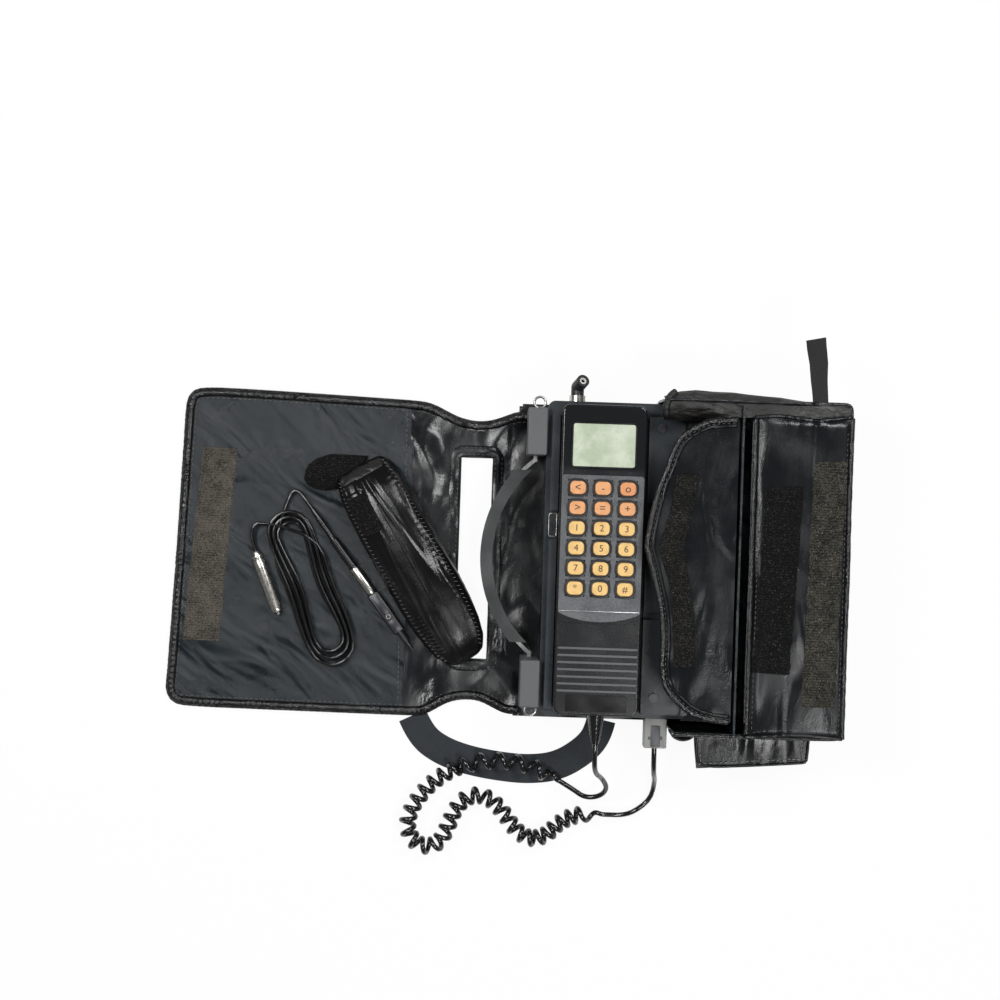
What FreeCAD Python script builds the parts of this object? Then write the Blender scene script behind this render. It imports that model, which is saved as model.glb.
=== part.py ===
import FreeCAD, Part
import math
import os
import Sketcher
from FreeCAD import Placement, Rotation, Vector

# A cellular bag phone, opened flat on its back: soft case, transceiver, handset, pouch and leads.
# Millimetres, +Z up. The origin is the middle of the underside of the bag's back panel.

SIZES = {
    # Bag
    "bag_width": 210, "bag_height": 212, "bag_depth": 73, "panel_thick": 3, "vinyl_thick": 2.4,
    "fold_gap": 0.3, "soft_gap": 0.3, "binding_width": 5, "binding_thick": 5,
    "spine_width": 79, "cover_width": 147, "cover_height": 208, "cover_skew": 5,
    "cover_corner": 17, "waist_depth": 15,
    "slot_start": 18.5, "slot_width": 20.8, "slot_length": 136,
    "strip_thick": 1.2, "hook_width": 23.5, "hook_length": 131, "hook_margin": 9,
    "loop_a_width": 24, "loop_a_length": 119, "loop_b_width": 21, "loop_b_length": 156,
    "wall_left": -14, "pocket_left": 44, "pocket_back": 47, "mouth_width": 10.7,
    "pocket_hinge_rise": 2.4, "pocket_reach": 57, "pocket_flap_height": 193,
    "tab_width": 12.5, "tab_length": 38,
    # Transceiver
    "phone_y": 3.5, "case_left": -88, "case_right": 28, "case_length": 205,
    "case_split": 24, "case_top": 42, "case_wall": 2.4, "case_corner": 5,
    "rail_inset": 3, "rail_width": 5, "rail_height": 8, "latch_gap": 19,
    "deck_gap": 2.8, "block_height": 6, "groove_width": 2.6, "groove_depth": 3,
    "board_thick": 1.6, "battery_gap": 3, "battery_length": 180, "battery_height": 41,
    "bracket_width": 13, "bracket_length": 31, "bracket_low": 12, "bracket_top": 50,
    "bracket_spread": 132.8,
    "grip_width": 8, "grip_height": 7, "grip_low": 21.5, "handle_bow": 30.4,
    "handle_span": 128, "core_thick": 2.4, "core_height": 5, "core_inset": 7, "handle_play": 4,
    "ring_bore": 6, "ring_wire": 1.6, "screw_head": 6,
    "antenna_x": -69, "antenna_drop": 6, "antenna_radius": 4.2, "socket_length": 4,
    "elbow_length": 10, "antenna_bore": 2.4,
    # Handset
    "handset_x": -52, "handset_width": 54.4, "handset_length": 199, "handset_depth": 20.9,
    "handset_back_depth": 9.7, "handset_wall": 2, "handset_corner": 5,
    "lens_width": 40.4, "lens_height": 28, "lens_offset": 73.5, "lens_thick": 1.4,
    "plate_high": 54.3, "plate_low": -39.5, "plate_width": 52.4, "plate_thick": 1,
    "key_width": 10.3, "key_depth": 8.6, "key_corner": 3.2, "key_rise": 2.6, "key_rim": 0.9,
    "key_surround": 1.1, "key_pitch_x": 16, "key_pitch_y": 12.84, "key_row_high": 46.1,
    "key_clear": 0.3, "key_flange": 1, "badge_width": 39, "badge_height": 10.4, "badge_offset": -91.5,
    "key_travel": 1.2,
    # Cords
    "cord_diameter": 3.4, "curl_radius": 4.5, "boot_offset": 1, "boot_length": 19, "boot_wide": 11.4,
    "boot_slim": 5, "boot_rise": 9.7, "plug_x": -11, "plug_width": 15, "plug_length": 20,
    "plug_height": 9, "plug_drop": 11, "plug_nose": 6,
    "strap_width": 20, "strap_thick": 1.3,
    # Pouch and car lead
    "pouch_length": 152, "pouch_width": 50, "pouch_height": 26, "pouch_turn": -58.5,
    "lead_diameter": 2.4, "hank_length": 116, "hank_width": 42, "hank_waist": 5,
    "hank_turns": 6, "hank_turn": -67.6, "power_turn": -52.5, "power_boot": 24, "power_grip": 24,
    "power_metal": 21, "power_contact": 32, "power_nose": 15,
    "barrel_radius": 4.3, "barrel_length": 36, "barrel_turn": -68,
}

doc = FreeCAD.newDocument("BagPhone")
sheet = doc.addObject("Spreadsheet::Sheet", "Sizes")
for row, (alias, number) in enumerate(SIZES.items(), 1):
    sheet.set(f"A{row}", alias)
    sheet.set(f"B{row}", str(number))
    sheet.setAlias(f"B{row}", alias)
doc.recompute()


class Size:
    """A length that keeps its spreadsheet formula beside its value."""

    def __init__(self, text, value):
        self.text = text
        self.value = value

    def joined(self, sign, other, value):
        return Size(f"({self.text} {sign} {as_size(other).text})", value)

    def __add__(self, other):
        return self.joined("+", other, self.value + float(other))

    def __sub__(self, other):
        return self.joined("-", other, self.value - float(other))

    def __mul__(self, other):
        return self.joined("*", other, self.value * float(other))

    def __truediv__(self, other):
        return self.joined("/", other, self.value / float(other))

    def __radd__(self, other):
        return as_size(other) + self

    def __rsub__(self, other):
        return as_size(other) - self

    def __rmul__(self, other):
        return as_size(other) * self

    def __neg__(self):
        return Size(f"(0 - {self.text})", -self.value)

    def __float__(self):
        return float(self.value)


def as_size(number):
    """A bare number as a Size, and a Size as it is."""
    return number if isinstance(number, Size) else Size(f"({number!r})", float(number))


class Names:
    """The sheet's cells as Size attributes."""

    def __getattr__(self, alias):
        return Size(f"Sizes.{alias}", float(sheet.get(alias)))


s = Names()
nodes = []


def node(label, item):
    """Give a finished sub-part its name."""
    item.Label = label
    nodes.append(item)
    return item


# Shapes bound to the sheet


def block(name, x, y, z):
    """A box between two x, two y and two z values."""
    item = doc.addObject("Part::Box", name)
    for size, place, (low, high) in (("Length", "x", x), ("Width", "y", y), ("Height", "z", z)):
        item.setExpression(size, (as_size(high) - low).text)
        item.setExpression(f".Placement.Base.{place}", as_size(low).text)
    return item


def turned(item, axis):
    """Turn a cylinder or cone from +Z to another axis."""
    turns = {"x": Rotation(Vector(0, 1, 0), 90), "y": Rotation(Vector(1, 0, 0), -90)}
    item.Placement = Placement(Vector(), turns.get(axis, Rotation()))
    return item


def set_base(item, base):
    for place, value in zip("xyz", base):
        item.setExpression(f".Placement.Base.{place}", as_size(value).text)
    return item


def rod(name, base, radius, length, axis="z"):
    """A cylinder from its base point along an axis."""
    item = turned(doc.addObject("Part::Cylinder", name), axis)
    item.setExpression("Radius", as_size(radius).text)
    item.setExpression("Height", as_size(length).text)
    return set_base(item, base)


def joined(name, parts):
    item = doc.addObject("Part::MultiFuse", name)
    item.Shapes = parts
    return item


def group(name, parts):
    item = doc.addObject("Part::Compound", name)
    item.Links = parts
    return item


def cut(name, base, *tools):
    item = doc.addObject("Part::Cut", name)
    item.Base = base
    item.Tool = tools[0] if len(tools) == 1 else joined(name + "Tools", list(tools))
    return item


def plane(body, role):
    return next(f for f in body.Origin.OriginFeatures if f.Role == role)


def rectangle(sketch, x, y):
    """Four lines whose corners are bound to the sheet."""
    corners = [(0, 0), (1, 0), (1, 1), (0, 1)]
    points = [Vector(float(x[i]), float(y[j]), 0) for i, j in corners]
    first = sketch.GeometryCount
    for k in range(4):
        sketch.addGeometry(Part.LineSegment(points[k], points[(k + 1) % 4]), False)
    for k in range(4):
        sketch.addConstraint(Sketcher.Constraint("Coincident", first + k, 2, first + (k + 1) % 4, 1))
    for k, kind in enumerate(("Horizontal", "Vertical", "Horizontal", "Vertical")):
        sketch.addConstraint(Sketcher.Constraint(kind, first + k))
    for line, where in ((0, (x[0], y[0])), (2, (x[1], y[1]))):
        for kind, value in zip(("DistanceX", "DistanceY"), where):
            limit = Sketcher.Constraint(kind, -1, 1, first + line, 1, float(value))
            index = sketch.addConstraint(limit)
            sketch.setExpression(f"Constraints[{index}]", as_size(value).text)


def flat_sketch(body, name, height):
    """A sketch on the body's XY plane, raised to a height."""
    sketch = body.newObject("Sketcher::SketchObject", name)
    sketch.AttachmentSupport = [(plane(body, "XY_Plane"), "")]
    sketch.MapMode = "FlatFace"
    sketch.setExpression(".AttachmentOffset.Base.z", as_size(height).text)
    return sketch


def edge_names(shape, wanted):
    return [f"Edge{n}" for n, edge in enumerate(shape.Edges, 1) if wanted(edge)]


def upright(edge):
    along = edge.lastVertex().Point - edge.firstVertex().Point
    return math.hypot(along.x, along.y) < 1e-6 < abs(along.z)


def fillet(body, base, edges, radius, name):
    item = body.newObject("PartDesign::Fillet", name)
    item.Base = (base, edges)
    item.setExpression("Radius", as_size(radius).text)
    body.Tip = item
    return item


def rounded(name, x, y, z, corner, rim=None):
    """A padded rectangle with rounded upright corners and, if asked, a rounded top rim."""
    body = doc.addObject("PartDesign::Body", name)
    sketch = flat_sketch(body, name + "Outline", z[0])
    rectangle(sketch, x, y)
    pad = body.newObject("PartDesign::Pad", name + "Pad")
    pad.Profile = sketch
    pad.setExpression("Length", (as_size(z[1]) - z[0]).text)
    doc.recompute()
    last = fillet(body, pad, edge_names(pad.Shape, upright), corner, name + "Corners")
    if rim is not None:
        doc.recompute()
        top = float(z[1])
        rims = edge_names(last.Shape, lambda e: abs(e.BoundBox.ZMin - top) < 1e-6)
        fillet(body, last, rims, rim, name + "Rim")
    return body


def hole_grid(body, x, y, z, corner, steps):
    """Pocket one rounded hole down through a body and repeat it along X and Y."""
    sketch = flat_sketch(body, body.Name + "Hole", z[1])
    rectangle(sketch, x, y)
    pocket = body.newObject("PartDesign::Pocket", body.Name + "Pocket")
    pocket.Profile = sketch
    pocket.setExpression("Length", (as_size(z[1]) - z[0]).text)
    multi = body.newObject("PartDesign::MultiTransform", body.Name + "Grid")
    patterns = []
    for role, (count, pitch) in zip(("X_Axis", "Y_Axis"), steps):
        pattern = body.newObject("PartDesign::LinearPattern", body.Name + role[0] + "Row")
        pattern.Direction = (plane(body, role), [""])
        pattern.Reversed = pitch.value < 0
        pattern.setExpression("Length", (pitch * (count - 1) * (-1 if pitch.value < 0 else 1)).text)
        pattern.Occurrences = count
        patterns.append(pattern)
    multi.Originals = [pocket]
    multi.Transformations = patterns
    body.Tip = multi
    return body


# Free shapes, computed from the sheet's values


def feature(name, shape):
    item = doc.addObject("Part::Feature", name)
    item.Shape = shape
    item.Placement = Placement()
    return item


def rounded_wire(points, radius):
    """A closed polygon with every corner rounded as far as its sides allow."""
    count = len(points)
    edges = []
    spans = []
    for k, here in enumerate(points):
        back = points[k - 1] - here
        ahead = points[(k + 1) % count] - here
        half = back.getAngle(ahead) / 2
        reach = min(radius / math.tan(half), 0.45 * back.Length, 0.45 * ahead.Length)
        bisect = (back.normalize() + ahead.normalize()).normalize()
        depth = reach / math.cos(half) - reach * math.tan(half)
        spans.append((here + back * reach, here + bisect * depth, here + ahead * reach))
    for k, (start, middle, end) in enumerate(spans):
        edges.append(Part.Arc(start, middle, end).toShape())
        edges.append(Part.LineSegment(end, spans[(k + 1) % count][0]).toShape())
    return Part.Wire(edges)


def plate(points, low, high, radius=0.6):
    """A flat piece of a rounded outline."""
    at_low = [Vector(x, y, float(low)) for x, y in points]
    face = Part.Face(rounded_wire(at_low, radius))
    return face.extrude(Vector(0, 0, float(high) - float(low)))


def solid_box(x, y, z):
    low = Vector(float(x[0]), float(y[0]), float(z[0]))
    high = Vector(float(x[1]), float(y[1]), float(z[1]))
    size = high - low
    return Part.makeBox(size.x, size.y, size.z, low)


def inset(points, distance):
    """Move each side of a polygon inwards by one distance."""
    count = len(points)
    flat = [Vector(x, y, 0) for x, y in points]
    area = sum(a.x * b.y - b.x * a.y for a, b in zip(flat, flat[1:] + flat[:1]))
    turn = 1 if area > 0 else -1
    moved = []
    for k, here in enumerate(flat):
        before = (here - flat[k - 1]).normalize()
        after = (flat[(k + 1) % count] - here).normalize()
        side = Vector(-(before.y + after.y), before.x + after.x, 0).normalize() * turn
        lean = side.dot(Vector(-after.y, after.x, 0)) * turn
        moved.append(here + side * (distance / lean))
    return [(p.x, p.y) for p in moved]


def straight_cord(points, diameter, name):
    """A tube along straight runs joined by tangent arcs, each as large as its runs allow."""
    edges = []
    last = points[0]
    radii = []
    for before, here, after in zip(points, points[1:], points[2:]):
        back = before - here
        ahead = after - here
        reach = 0.45 * min(back.Length, ahead.Length)
        half = back.getAngle(ahead) / 2
        radii.append(reach * math.tan(half))
        bisect = (back.normalize() + ahead.normalize()).normalize()
        depth = reach / math.cos(half) - reach * math.tan(half)
        edges.append(Part.LineSegment(last, here + back * reach).toShape())
        arc = Part.Arc(here + back * reach, here + bisect * depth, here + ahead * reach)
        edges.append(arc.toShape())
        last = here + ahead * reach
    edges.append(Part.LineSegment(last, points[-1]).toShape())
    print(name, "radii", [round(r, 1) for r in radii])
    return tube(Part.Wire(edges), points[0], points[1] - points[0], diameter, name)


def tube(path, start, along, diameter, name):
    """Sweep a round section along a path and compare the volume with section times length."""
    ring = Part.Wire(Part.Circle(start, along, diameter / 2).toShape())
    solid = path.makePipeShell([ring], True, False)
    expected = math.pi * diameter**2 / 4 * path.Length
    print(name, "length", round(path.Length, 1), "volume ratio", round(solid.Volume / expected, 4))
    return solid


def half_way(start, along, end):
    """The middle of the arc that leaves start along a direction and reaches end."""
    chord = end - start
    side = along - chord * (along.dot(chord) / chord.dot(chord))
    if side.Length < 1e-7:
        return None
    rise = side.normalize() * (chord.Length / 2 * math.tan(along.getAngle(chord) / 2))
    return start + chord / 2 + rise


def span(start, middle, end):
    """An arc through three points, or a line where there is no bend."""
    curve = Part.Arc(start, middle, end) if middle else Part.LineSegment(start, end)
    return curve.toShape()


def biarc(p, u, q, v):
    """Two tangent arcs from p along u to q along v."""
    gap = q - p
    spare = 2 * (1 - u.dot(v))
    lean = gap.dot(u + v)
    if spare < 1e-9:
        reach = gap.dot(gap) / (4 * gap.dot(v))
    else:
        reach = (math.sqrt(lean * lean + spare * gap.dot(gap)) - lean) / spare
    middle = (p + q + (u - v) * reach) / 2
    return [span(p, half_way(p, u, middle), middle), span(middle, half_way(q, v * -1, middle), q)]


def stations(curve, marks):
    """Where a curve is at each mark, and which way it runs."""
    tiny = 1e-4
    return [(curve(m), (curve(m + tiny) - curve(m - tiny)).normalize()) for m in marks]


def wound_tube(places, diameter, name):
    """A tube through places and directions, on biarcs, with a straight run at each end."""
    (first, way), (last, end_way) = places[0], places[-1]
    start = first - way * diameter
    edges = [Part.LineSegment(start, first).toShape()]
    for (p, u), (q, v) in zip(places, places[1:]):
        edges += biarc(p, u, q, v)
    edges.append(Part.LineSegment(last, last + end_way * diameter).toShape())
    gap, where = least_gap(edges, diameter)
    print(name, "least gap to itself", round(gap, 2), "near", [round(v) for v in where])
    return tube(Part.Wire(edges), start, way, diameter, name)


def least_gap(edges, diameter):
    """The least gap between parts of a tube that lie apart along it, on points 0.8 mm apart."""
    points = []
    run = 0.0
    for edge in edges:
        for k in range(max(1, int(edge.Length / 0.8))):
            share = k / max(1, int(edge.Length / 0.8))
            first, last = edge.ParameterRange
            points.append((run + share * edge.Length, edge.valueAt(first + share * (last - first))))
        run += edge.Length
    least, where = 1e9, None
    for k, (here, p) in enumerate(points):
        other = k + int(diameter * 3 / 0.8)
        while other < len(points):
            distance = (points[other][1] - p).Length
            if distance < least:
                least, where = distance, p
            other += max(1, int((distance - least) / 0.8))
    return least - diameter, where


def smooth(points):
    curve = Part.BSplineCurve()
    curve.interpolate(points)
    return curve


# Shared places

top_z = s.case_top
hinge_x = -s.bag_width / 2
panel_mid = s.panel_thick / 2
cover_fold = hinge_x - s.spine_width
fold_clear = panel_mid + s.fold_gap
handset_end = s.phone_y - s.handset_length / 2
case_end = s.phone_y - s.case_length / 2
case_head = s.phone_y + s.case_length / 2
bracket_left = s.case_left - s.bracket_width
bracket_high_end = s.phone_y + s.bracket_spread / 2 + s.bracket_length
bracket_low_end = s.phone_y - s.bracket_spread / 2 - s.bracket_length
pocket_hinge_z = s.bag_depth + s.pocket_hinge_rise
bag_right = s.bag_width / 2
mouth_wall = s.pocket_left - s.mouth_width
rail_left = s.case_left + s.rail_inset
deck_left = s.handset_x + s.handset_width / 2 + s.deck_gap
core_end_x = s.case_left - s.core_inset
antenna_z = s.case_top - s.antenna_drop
handset_low = s.case_top + s.soft_gap
handset_split = handset_low + s.handset_back_depth
handset_top = handset_low + s.handset_depth
boot_x = s.handset_x + s.boot_offset
boot_z = handset_low + s.boot_rise
plug_low = s.case_top - s.plug_drop
key_row_y = s.phone_y + s.key_row_high
coil_z = s.curl_radius + s.cord_diameter / 2 + s.strap_thick + s.soft_gap
bag_low = -s.bag_height / 2
bag_high = s.bag_height / 2


def make_back_panel():
    flat = block("BackFlat", (hinge_x, bag_right), (bag_low, bag_high), (0, s.panel_thick))
    roll = rod("BackRoll", (hinge_x, bag_low, panel_mid), panel_mid, s.bag_height, "y")
    node("back_panel", joined("BackPanel", [flat, roll]))


def make_tub():
    """The bag's gusset walls round the phone's right half and the end wall under the pocket."""
    wall = s.vinyl_thick
    outside = block(
        "TubOutside", (s.wall_left, bag_right), (bag_low, bag_high + wall),
        (s.panel_thick, s.bag_depth - wall),
    )
    inside = block(
        "TubInside", (s.wall_left - 1, bag_right - wall), (bag_low + wall, bag_high + s.soft_gap),
        (s.panel_thick - 1, s.bag_depth),
    )
    reach = s.plug_width / 2 + 1
    notch = block(
        "PlugNotch", (s.plug_x - reach, s.plug_x + reach), (bag_low - 1, bag_low + wall + 1),
        (plug_low - 1, s.bag_depth),
    )
    node("bag_tub", cut("BagTub", outside, inside, notch))


def make_pocket():
    """The pocket's front, and the wall and floor behind it that carry the pocket flap."""
    wall = s.vinyl_thick
    low, high = float(bag_low), float(bag_high + wall)
    left, right = float(s.pocket_left), float(bag_right)
    wave = [
        (left, high - 9), (left + 15, high - 8), (left + 38, high - 11), (right, high - 8),
        (right, low + 1), (left + 32, low + 4), (left, low),
    ]
    front = plate(wave, s.bag_depth - wall, s.bag_depth, 9)
    hem = solid_box(
        (left - 3.4, left), (low + 3, high - 12), (float(s.bag_depth) - 2.8, float(s.bag_depth) + 1.6)
    )
    node("pocket_front", feature("PocketFront", front.fuse(hem.makeFillet(1, hem.Edges))))
    inner = (bag_low + wall, bag_high + s.soft_gap)
    floor = block("PocketFloor", (mouth_wall, bag_right - wall), inner, (s.pocket_back - wall, s.pocket_back))
    riser = block(
        "PocketRiser", (mouth_wall, mouth_wall + wall), inner,
        (s.pocket_back - wall, pocket_hinge_z - 0.4),
    )
    node("pocket_wall", joined("PocketWall", [floor, riser]))


def slanted(x, y, width, length, lean):
    """A strip's four corners, with its ends shifted sideways by a lean."""
    return [
        (x - width / 2 + lean, y + length / 2), (x + width / 2 + lean, y + length / 2),
        (x + width / 2 - lean, y - length / 2), (x - width / 2 - lean, y - length / 2),
    ]


def make_loop_strips():
    low = s.bag_depth
    high = low + s.strip_thick
    left = float(s.pocket_left)
    a = slanted(left + 15.4, -5, float(s.loop_a_width), float(s.loop_a_length), 2.6)
    b = slanted(left + 45, -6.5, float(s.loop_b_width), float(s.loop_b_length), 1.6)
    strips = [plate(a, low, high), plate(b, low, high)]
    node("loop_strips", feature("LoopStrips", Part.makeCompound(strips)))


def make_side_flaps():
    """The gusset's upper wing, its lower flap and the small fold beside the phone."""
    high = float(bag_high + s.vinyl_thick)
    low = float(bag_low)
    top = float(s.bag_depth)
    left = float(s.wall_left)
    wing = plate(
        [(left, high), (left + 6, high + 5), (left + 16, high + 7), (left + 70, high + 4),
         (left + 96, high), ],
        top - 7, top - 4, 2,
    )
    flap = plate(
        [(left + 28, low), (left + 31, low - 27), (left + 104, low - 20), (left + 106, low)],
        30, 33, 3,
    )
    fold = plate([(left + 12, low), (left + 14, low - 5), (left + 25, low - 5), (left + 27, low)], 36, 52, 2)
    node("side_flaps", feature("SideFlaps", Part.makeCompound([wing, flap, fold])))


def make_pull_tab():
    """Folded webbing sewn to the upper wing."""
    x = float(bag_right) - 27
    start = float(bag_high + s.vinyl_thick + s.soft_gap)
    width = float(s.tab_width)
    length = float(s.tab_length)
    top = float(s.bag_depth) - 4
    strip = plate(
        [(x, start), (x - 2, start + length * 0.6), (x - 5, start + length),
         (x - 5 + width, start + length + 3), (x - 2 + width, start + length * 0.6), (x + width, start)],
        top, top + 2, 1,
    )
    node("pull_tab", feature("PullTab", strip))


def flap_outline():
    """The outline of spine and cover together, run on past the bag's hinge line, where it is cut."""
    right = float(hinge_x - fold_clear)
    over = right + 3 * float(s.cover_corner)
    fold = float(cover_fold)
    left = fold - float(s.cover_width)
    skew = float(s.cover_skew)
    half = float(s.cover_height) / 2
    dip = float(s.waist_depth)
    return [
        (over, half - 7), (right, half - 7), (right - 12, half - dip + 3), (right - 25, half - dip),
        (right - 40, half - dip + 2), (right - 52, half - dip + 9), (right - 64, half - 2.6),
        (fold, half - 2), (left + 30 + skew, half + 2), (left + skew, half + 2),
        (left - skew, -half + 2), (left + 30, -half + 1), (fold, -half),
        (right - 60, -half), (right - 48, -half + dip - 8), (right - 32, -half + dip - 3),
        (right - 19, -half + dip - 4), (right - 8, -half + dip - 9),
        (right, -half + 3), (over, -half + 3),
    ]


def flap_blank(low, high, shrink):
    outline = flap_outline()
    return plate(inset(outline, shrink) if shrink else outline, low, high, float(s.cover_corner))


def beyond(shape, x0, x1):
    """The part of a shape between two x values."""
    return shape.common(solid_box((x0, x1), (-200, 200), (-20, 20)))


def make_flap():
    """Spine panel with its handle slot, cover panel, and the piping bound round both."""
    band = float(s.binding_width)
    right = float(hinge_x - fold_clear)
    fold = float(cover_fold)
    far = fold - 2 * float(s.cover_width)
    sheet_blank = flap_blank(0, s.panel_thick, band)
    ring = flap_blank(0, s.binding_thick, 0).cut(flap_blank(-1, 10, band))
    slot_right = float(hinge_x - s.slot_start)
    half_slot = float(s.slot_length) / 2
    slot = solid_box((slot_right - float(s.slot_width), slot_right), (-half_slot, half_slot), (-2, 9))
    roll = Part.makeCylinder(float(panel_mid), 400, Vector(fold, -200, float(panel_mid)), Vector(0, 1, 0))
    roll = roll.common(flap_blank(0, s.panel_thick, band))
    spine = beyond(sheet_blank, fold, right).fuse(roll).cut(slot)
    node("spine_panel", feature("SpinePanel", spine.removeSplitter()))
    end = float(s.binding_thick) - float(panel_mid) + float(s.fold_gap)
    spine_ring = beyond(ring, fold + float(fold_clear), float(hinge_x) - end)
    cover_ring = beyond(ring, far, fold - end)
    node("spine_binding", feature("SpineBinding", spine_ring))
    cover = beyond(sheet_blank, far, fold - float(fold_clear))
    node("cover_panel", feature("CoverPanel", cover))
    node("cover_binding", feature("CoverBinding", cover_ring))


def make_cover_hook():
    low = s.panel_thick
    left = float(cover_fold - s.cover_width)
    x = left + float(s.hook_margin) + float(s.binding_width) + float(s.hook_width) / 2
    strip = slanted(x, 4, float(s.hook_width), float(s.hook_length), float(s.cover_skew) * 0.75)
    node("cover_hook", feature("CoverHook", plate(strip, low, low + s.strip_thick)))


def pocket_flap_outline():
    right = float(mouth_wall - s.soft_gap)
    reach = float(s.pocket_reach)
    high = float(s.pocket_flap_height) / 2
    return [
        (right, high), (right - 22, high - 2), (right - 40, high - 17), (right - 50, high - 45),
        (right - reach, high - 82), (right - 54, high - 95), (right - 46, high - 127),
        (right - 44, high - 152), (right - 45, high - 167), (right - 41, high - 178),
        (right - 34, high - 186), (right - 26, 1 - high), (right, -high),
    ]


def make_pocket_flap():
    """The flap over the pocket's mouth, lying open over the phone, with its bound edge."""
    top = pocket_hinge_z - 0.8
    low = top - s.vinyl_thick
    outline = pocket_flap_outline()
    blank = plate(outline, low, top, 8)
    band = 4.2
    inner = inset(outline, band)
    rim = plate(outline, float(low) - 0.6, float(top) + 0.9, 8).cut(
        plate(inner, float(low) - 2, float(top) + 3, 6)
    )
    rim = rim.cut(solid_box((float(mouth_wall) - 5, 60), (-200, 200), (0, 200)))
    node("pocket_flap", feature("PocketFlap", blank.fuse(rim).removeSplitter()))
    right = float(mouth_wall)
    high = float(s.pocket_flap_height) / 2
    chevron = plate(
        [(right - 25, high - 36), (right - 40, high - 36), (right - 50, high - 84), (right - 39.5, high - 127),
         (right - 37.5, high - 158), (right - 24, high - 158), (right - 26, high - 127), (right - 34, high - 84)],
        top, top + s.strip_thick, 2,
    )
    node("pocket_flap_hook", feature("PocketFlapHook", chevron))


# Transceiver


def make_case():
    """Two shells split at mid height, with the handset's cradle on the upper one."""
    wall = s.case_wall
    x = (s.case_left, s.case_right)
    y = (case_end, case_head)
    inner_x = (s.case_left + wall, s.case_right - wall)
    inner_y = (case_end + wall, case_head - wall)
    low = s.panel_thick
    tub = rounded("CaseTub", x, y, (low, s.case_split), s.case_corner)
    hollow = rounded(
        "CaseHollow", inner_x, inner_y, (low + wall, s.case_split + 1), s.case_corner - wall,
    )
    node("case_bottom", cut("CaseBottom", tub, hollow))
    lid = rounded("CaseLid", x, y, (s.case_split, top_z), s.case_corner)
    lid_hollow = rounded(
        "LidHollow", inner_x, inner_y, (s.case_split - 1, top_z - wall), s.case_corner - wall,
    )
    rail_y = (case_end + 5, case_head - 9)
    rail = block(
        "Rail", (rail_left, rail_left + s.rail_width), rail_y, (top_z, top_z + s.rail_height),
    )
    latch = block(
        "LatchGap", (rail_left - 1, rail_left + s.rail_width + 1),
        (s.phone_y + 12, s.phone_y + 12 + s.latch_gap), (top_z + 3, top_z + s.rail_height + 1),
    )
    deck = block(
        "Deck", (deck_left, s.case_right), (case_end + 3, case_head - 9),
        (top_z, top_z + s.block_height),
    )
    deck_top = (top_z + s.block_height - s.groove_depth, top_z + s.block_height + 1)
    groove_x = deck_left + 23.5
    grooves = [
        block("GrooveLong", (groove_x, groove_x + s.groove_width), (case_end, case_head), deck_top),
        block("GrooveUpper", (deck_left - 1, s.case_right + 1), (s.phone_y + 31, s.phone_y + 38), deck_top),
        block("GrooveLower", (deck_left - 1, s.case_right + 1), (s.phone_y - 38, s.phone_y - 33.4), deck_top),
    ]
    jack = block(
        "JackHole", (s.plug_x - 5.4, s.plug_x + 5.4), (case_end - 1, case_end + s.plug_nose + 1),
        (plug_low + 1.2, plug_low + s.plug_height - 1.2),
    )
    shell = joined("LidBody", [cut("LidShell", lid, lid_hollow), rail, deck])
    node("case_top", cut("CaseTop", shell, latch, jack, *grooves))


def bracket(name, y, outer):
    """One handle bracket with a bevelled outer corner and a slot for the handle's core."""
    x = (bracket_left, s.case_left)
    base = rounded(name + "Block", x, (y, y + s.bracket_length), (s.bracket_low, s.bracket_top), 1.5, 1.2)
    depth = 14
    start = y - 1 if outer > 0 else y + s.bracket_length - depth
    play = s.core_thick / 2 + s.key_clear
    room = block(
        name + "Room", (core_end_x - play - s.handle_play, core_end_x + play),
        (start, start + depth + 1),
        (s.grip_low + 1 - s.key_clear, s.grip_low + 1 + s.core_height + s.key_clear),
    )
    return cut(name, base, room)


def make_brackets():
    upper = bracket("BracketUpper", bracket_high_end - s.bracket_length, 1)
    lower = bracket("BracketLower", bracket_low_end, -1)
    node("handle_brackets", group("HandleBrackets", [upper, lower]))


def bow_band(thick, low, height, ends):
    """A flat band on the handle's bow, cut off square near its ends."""
    end = Vector(float(core_end_x), 0, float(low))
    half = float(s.handle_span) / 2
    bow = float(s.handle_bow)
    radius = (half**2 + bow**2) / (2 * bow)
    centre = Vector(end.x - bow + radius, float(s.phone_y), end.z)
    outer = Part.makeCylinder(radius + thick / 2, float(height), centre)
    inner = Part.makeCylinder(radius - thick / 2, float(height), centre)
    reach = half - ends
    keep = solid_box(
        (end.x - bow - thick, centre.x), (float(s.phone_y) - reach, float(s.phone_y) + reach), (0, 60),
    )
    return outer.cut(inner).common(keep)


def make_handle():
    """A steel core on a bow, its ends straight in the brackets, inside a moulded grip."""
    core_low = float(s.grip_low) + 1
    core = bow_band(float(s.core_thick), core_low, s.core_height, 0)
    half = float(s.handle_span) / 2
    x = float(core_end_x)
    tongues = []
    for side in (1, -1):
        y = float(s.phone_y) + side * (half - 1.5)
        tip = y + side * 13
        span = (min(y, tip), max(y, tip))
        thick = float(s.core_thick) / 2
        tongues.append(solid_box((x - thick, x + thick), span, (core_low, core_low + float(s.core_height))))
    core = core.fuse(tongues).removeSplitter()
    node("handle_core", feature("HandleCore", core))
    grip = bow_band(float(s.grip_width), s.grip_low, s.grip_height, 7)
    node("handle_grip", feature("HandleGrip", grip.cut(core)))


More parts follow.
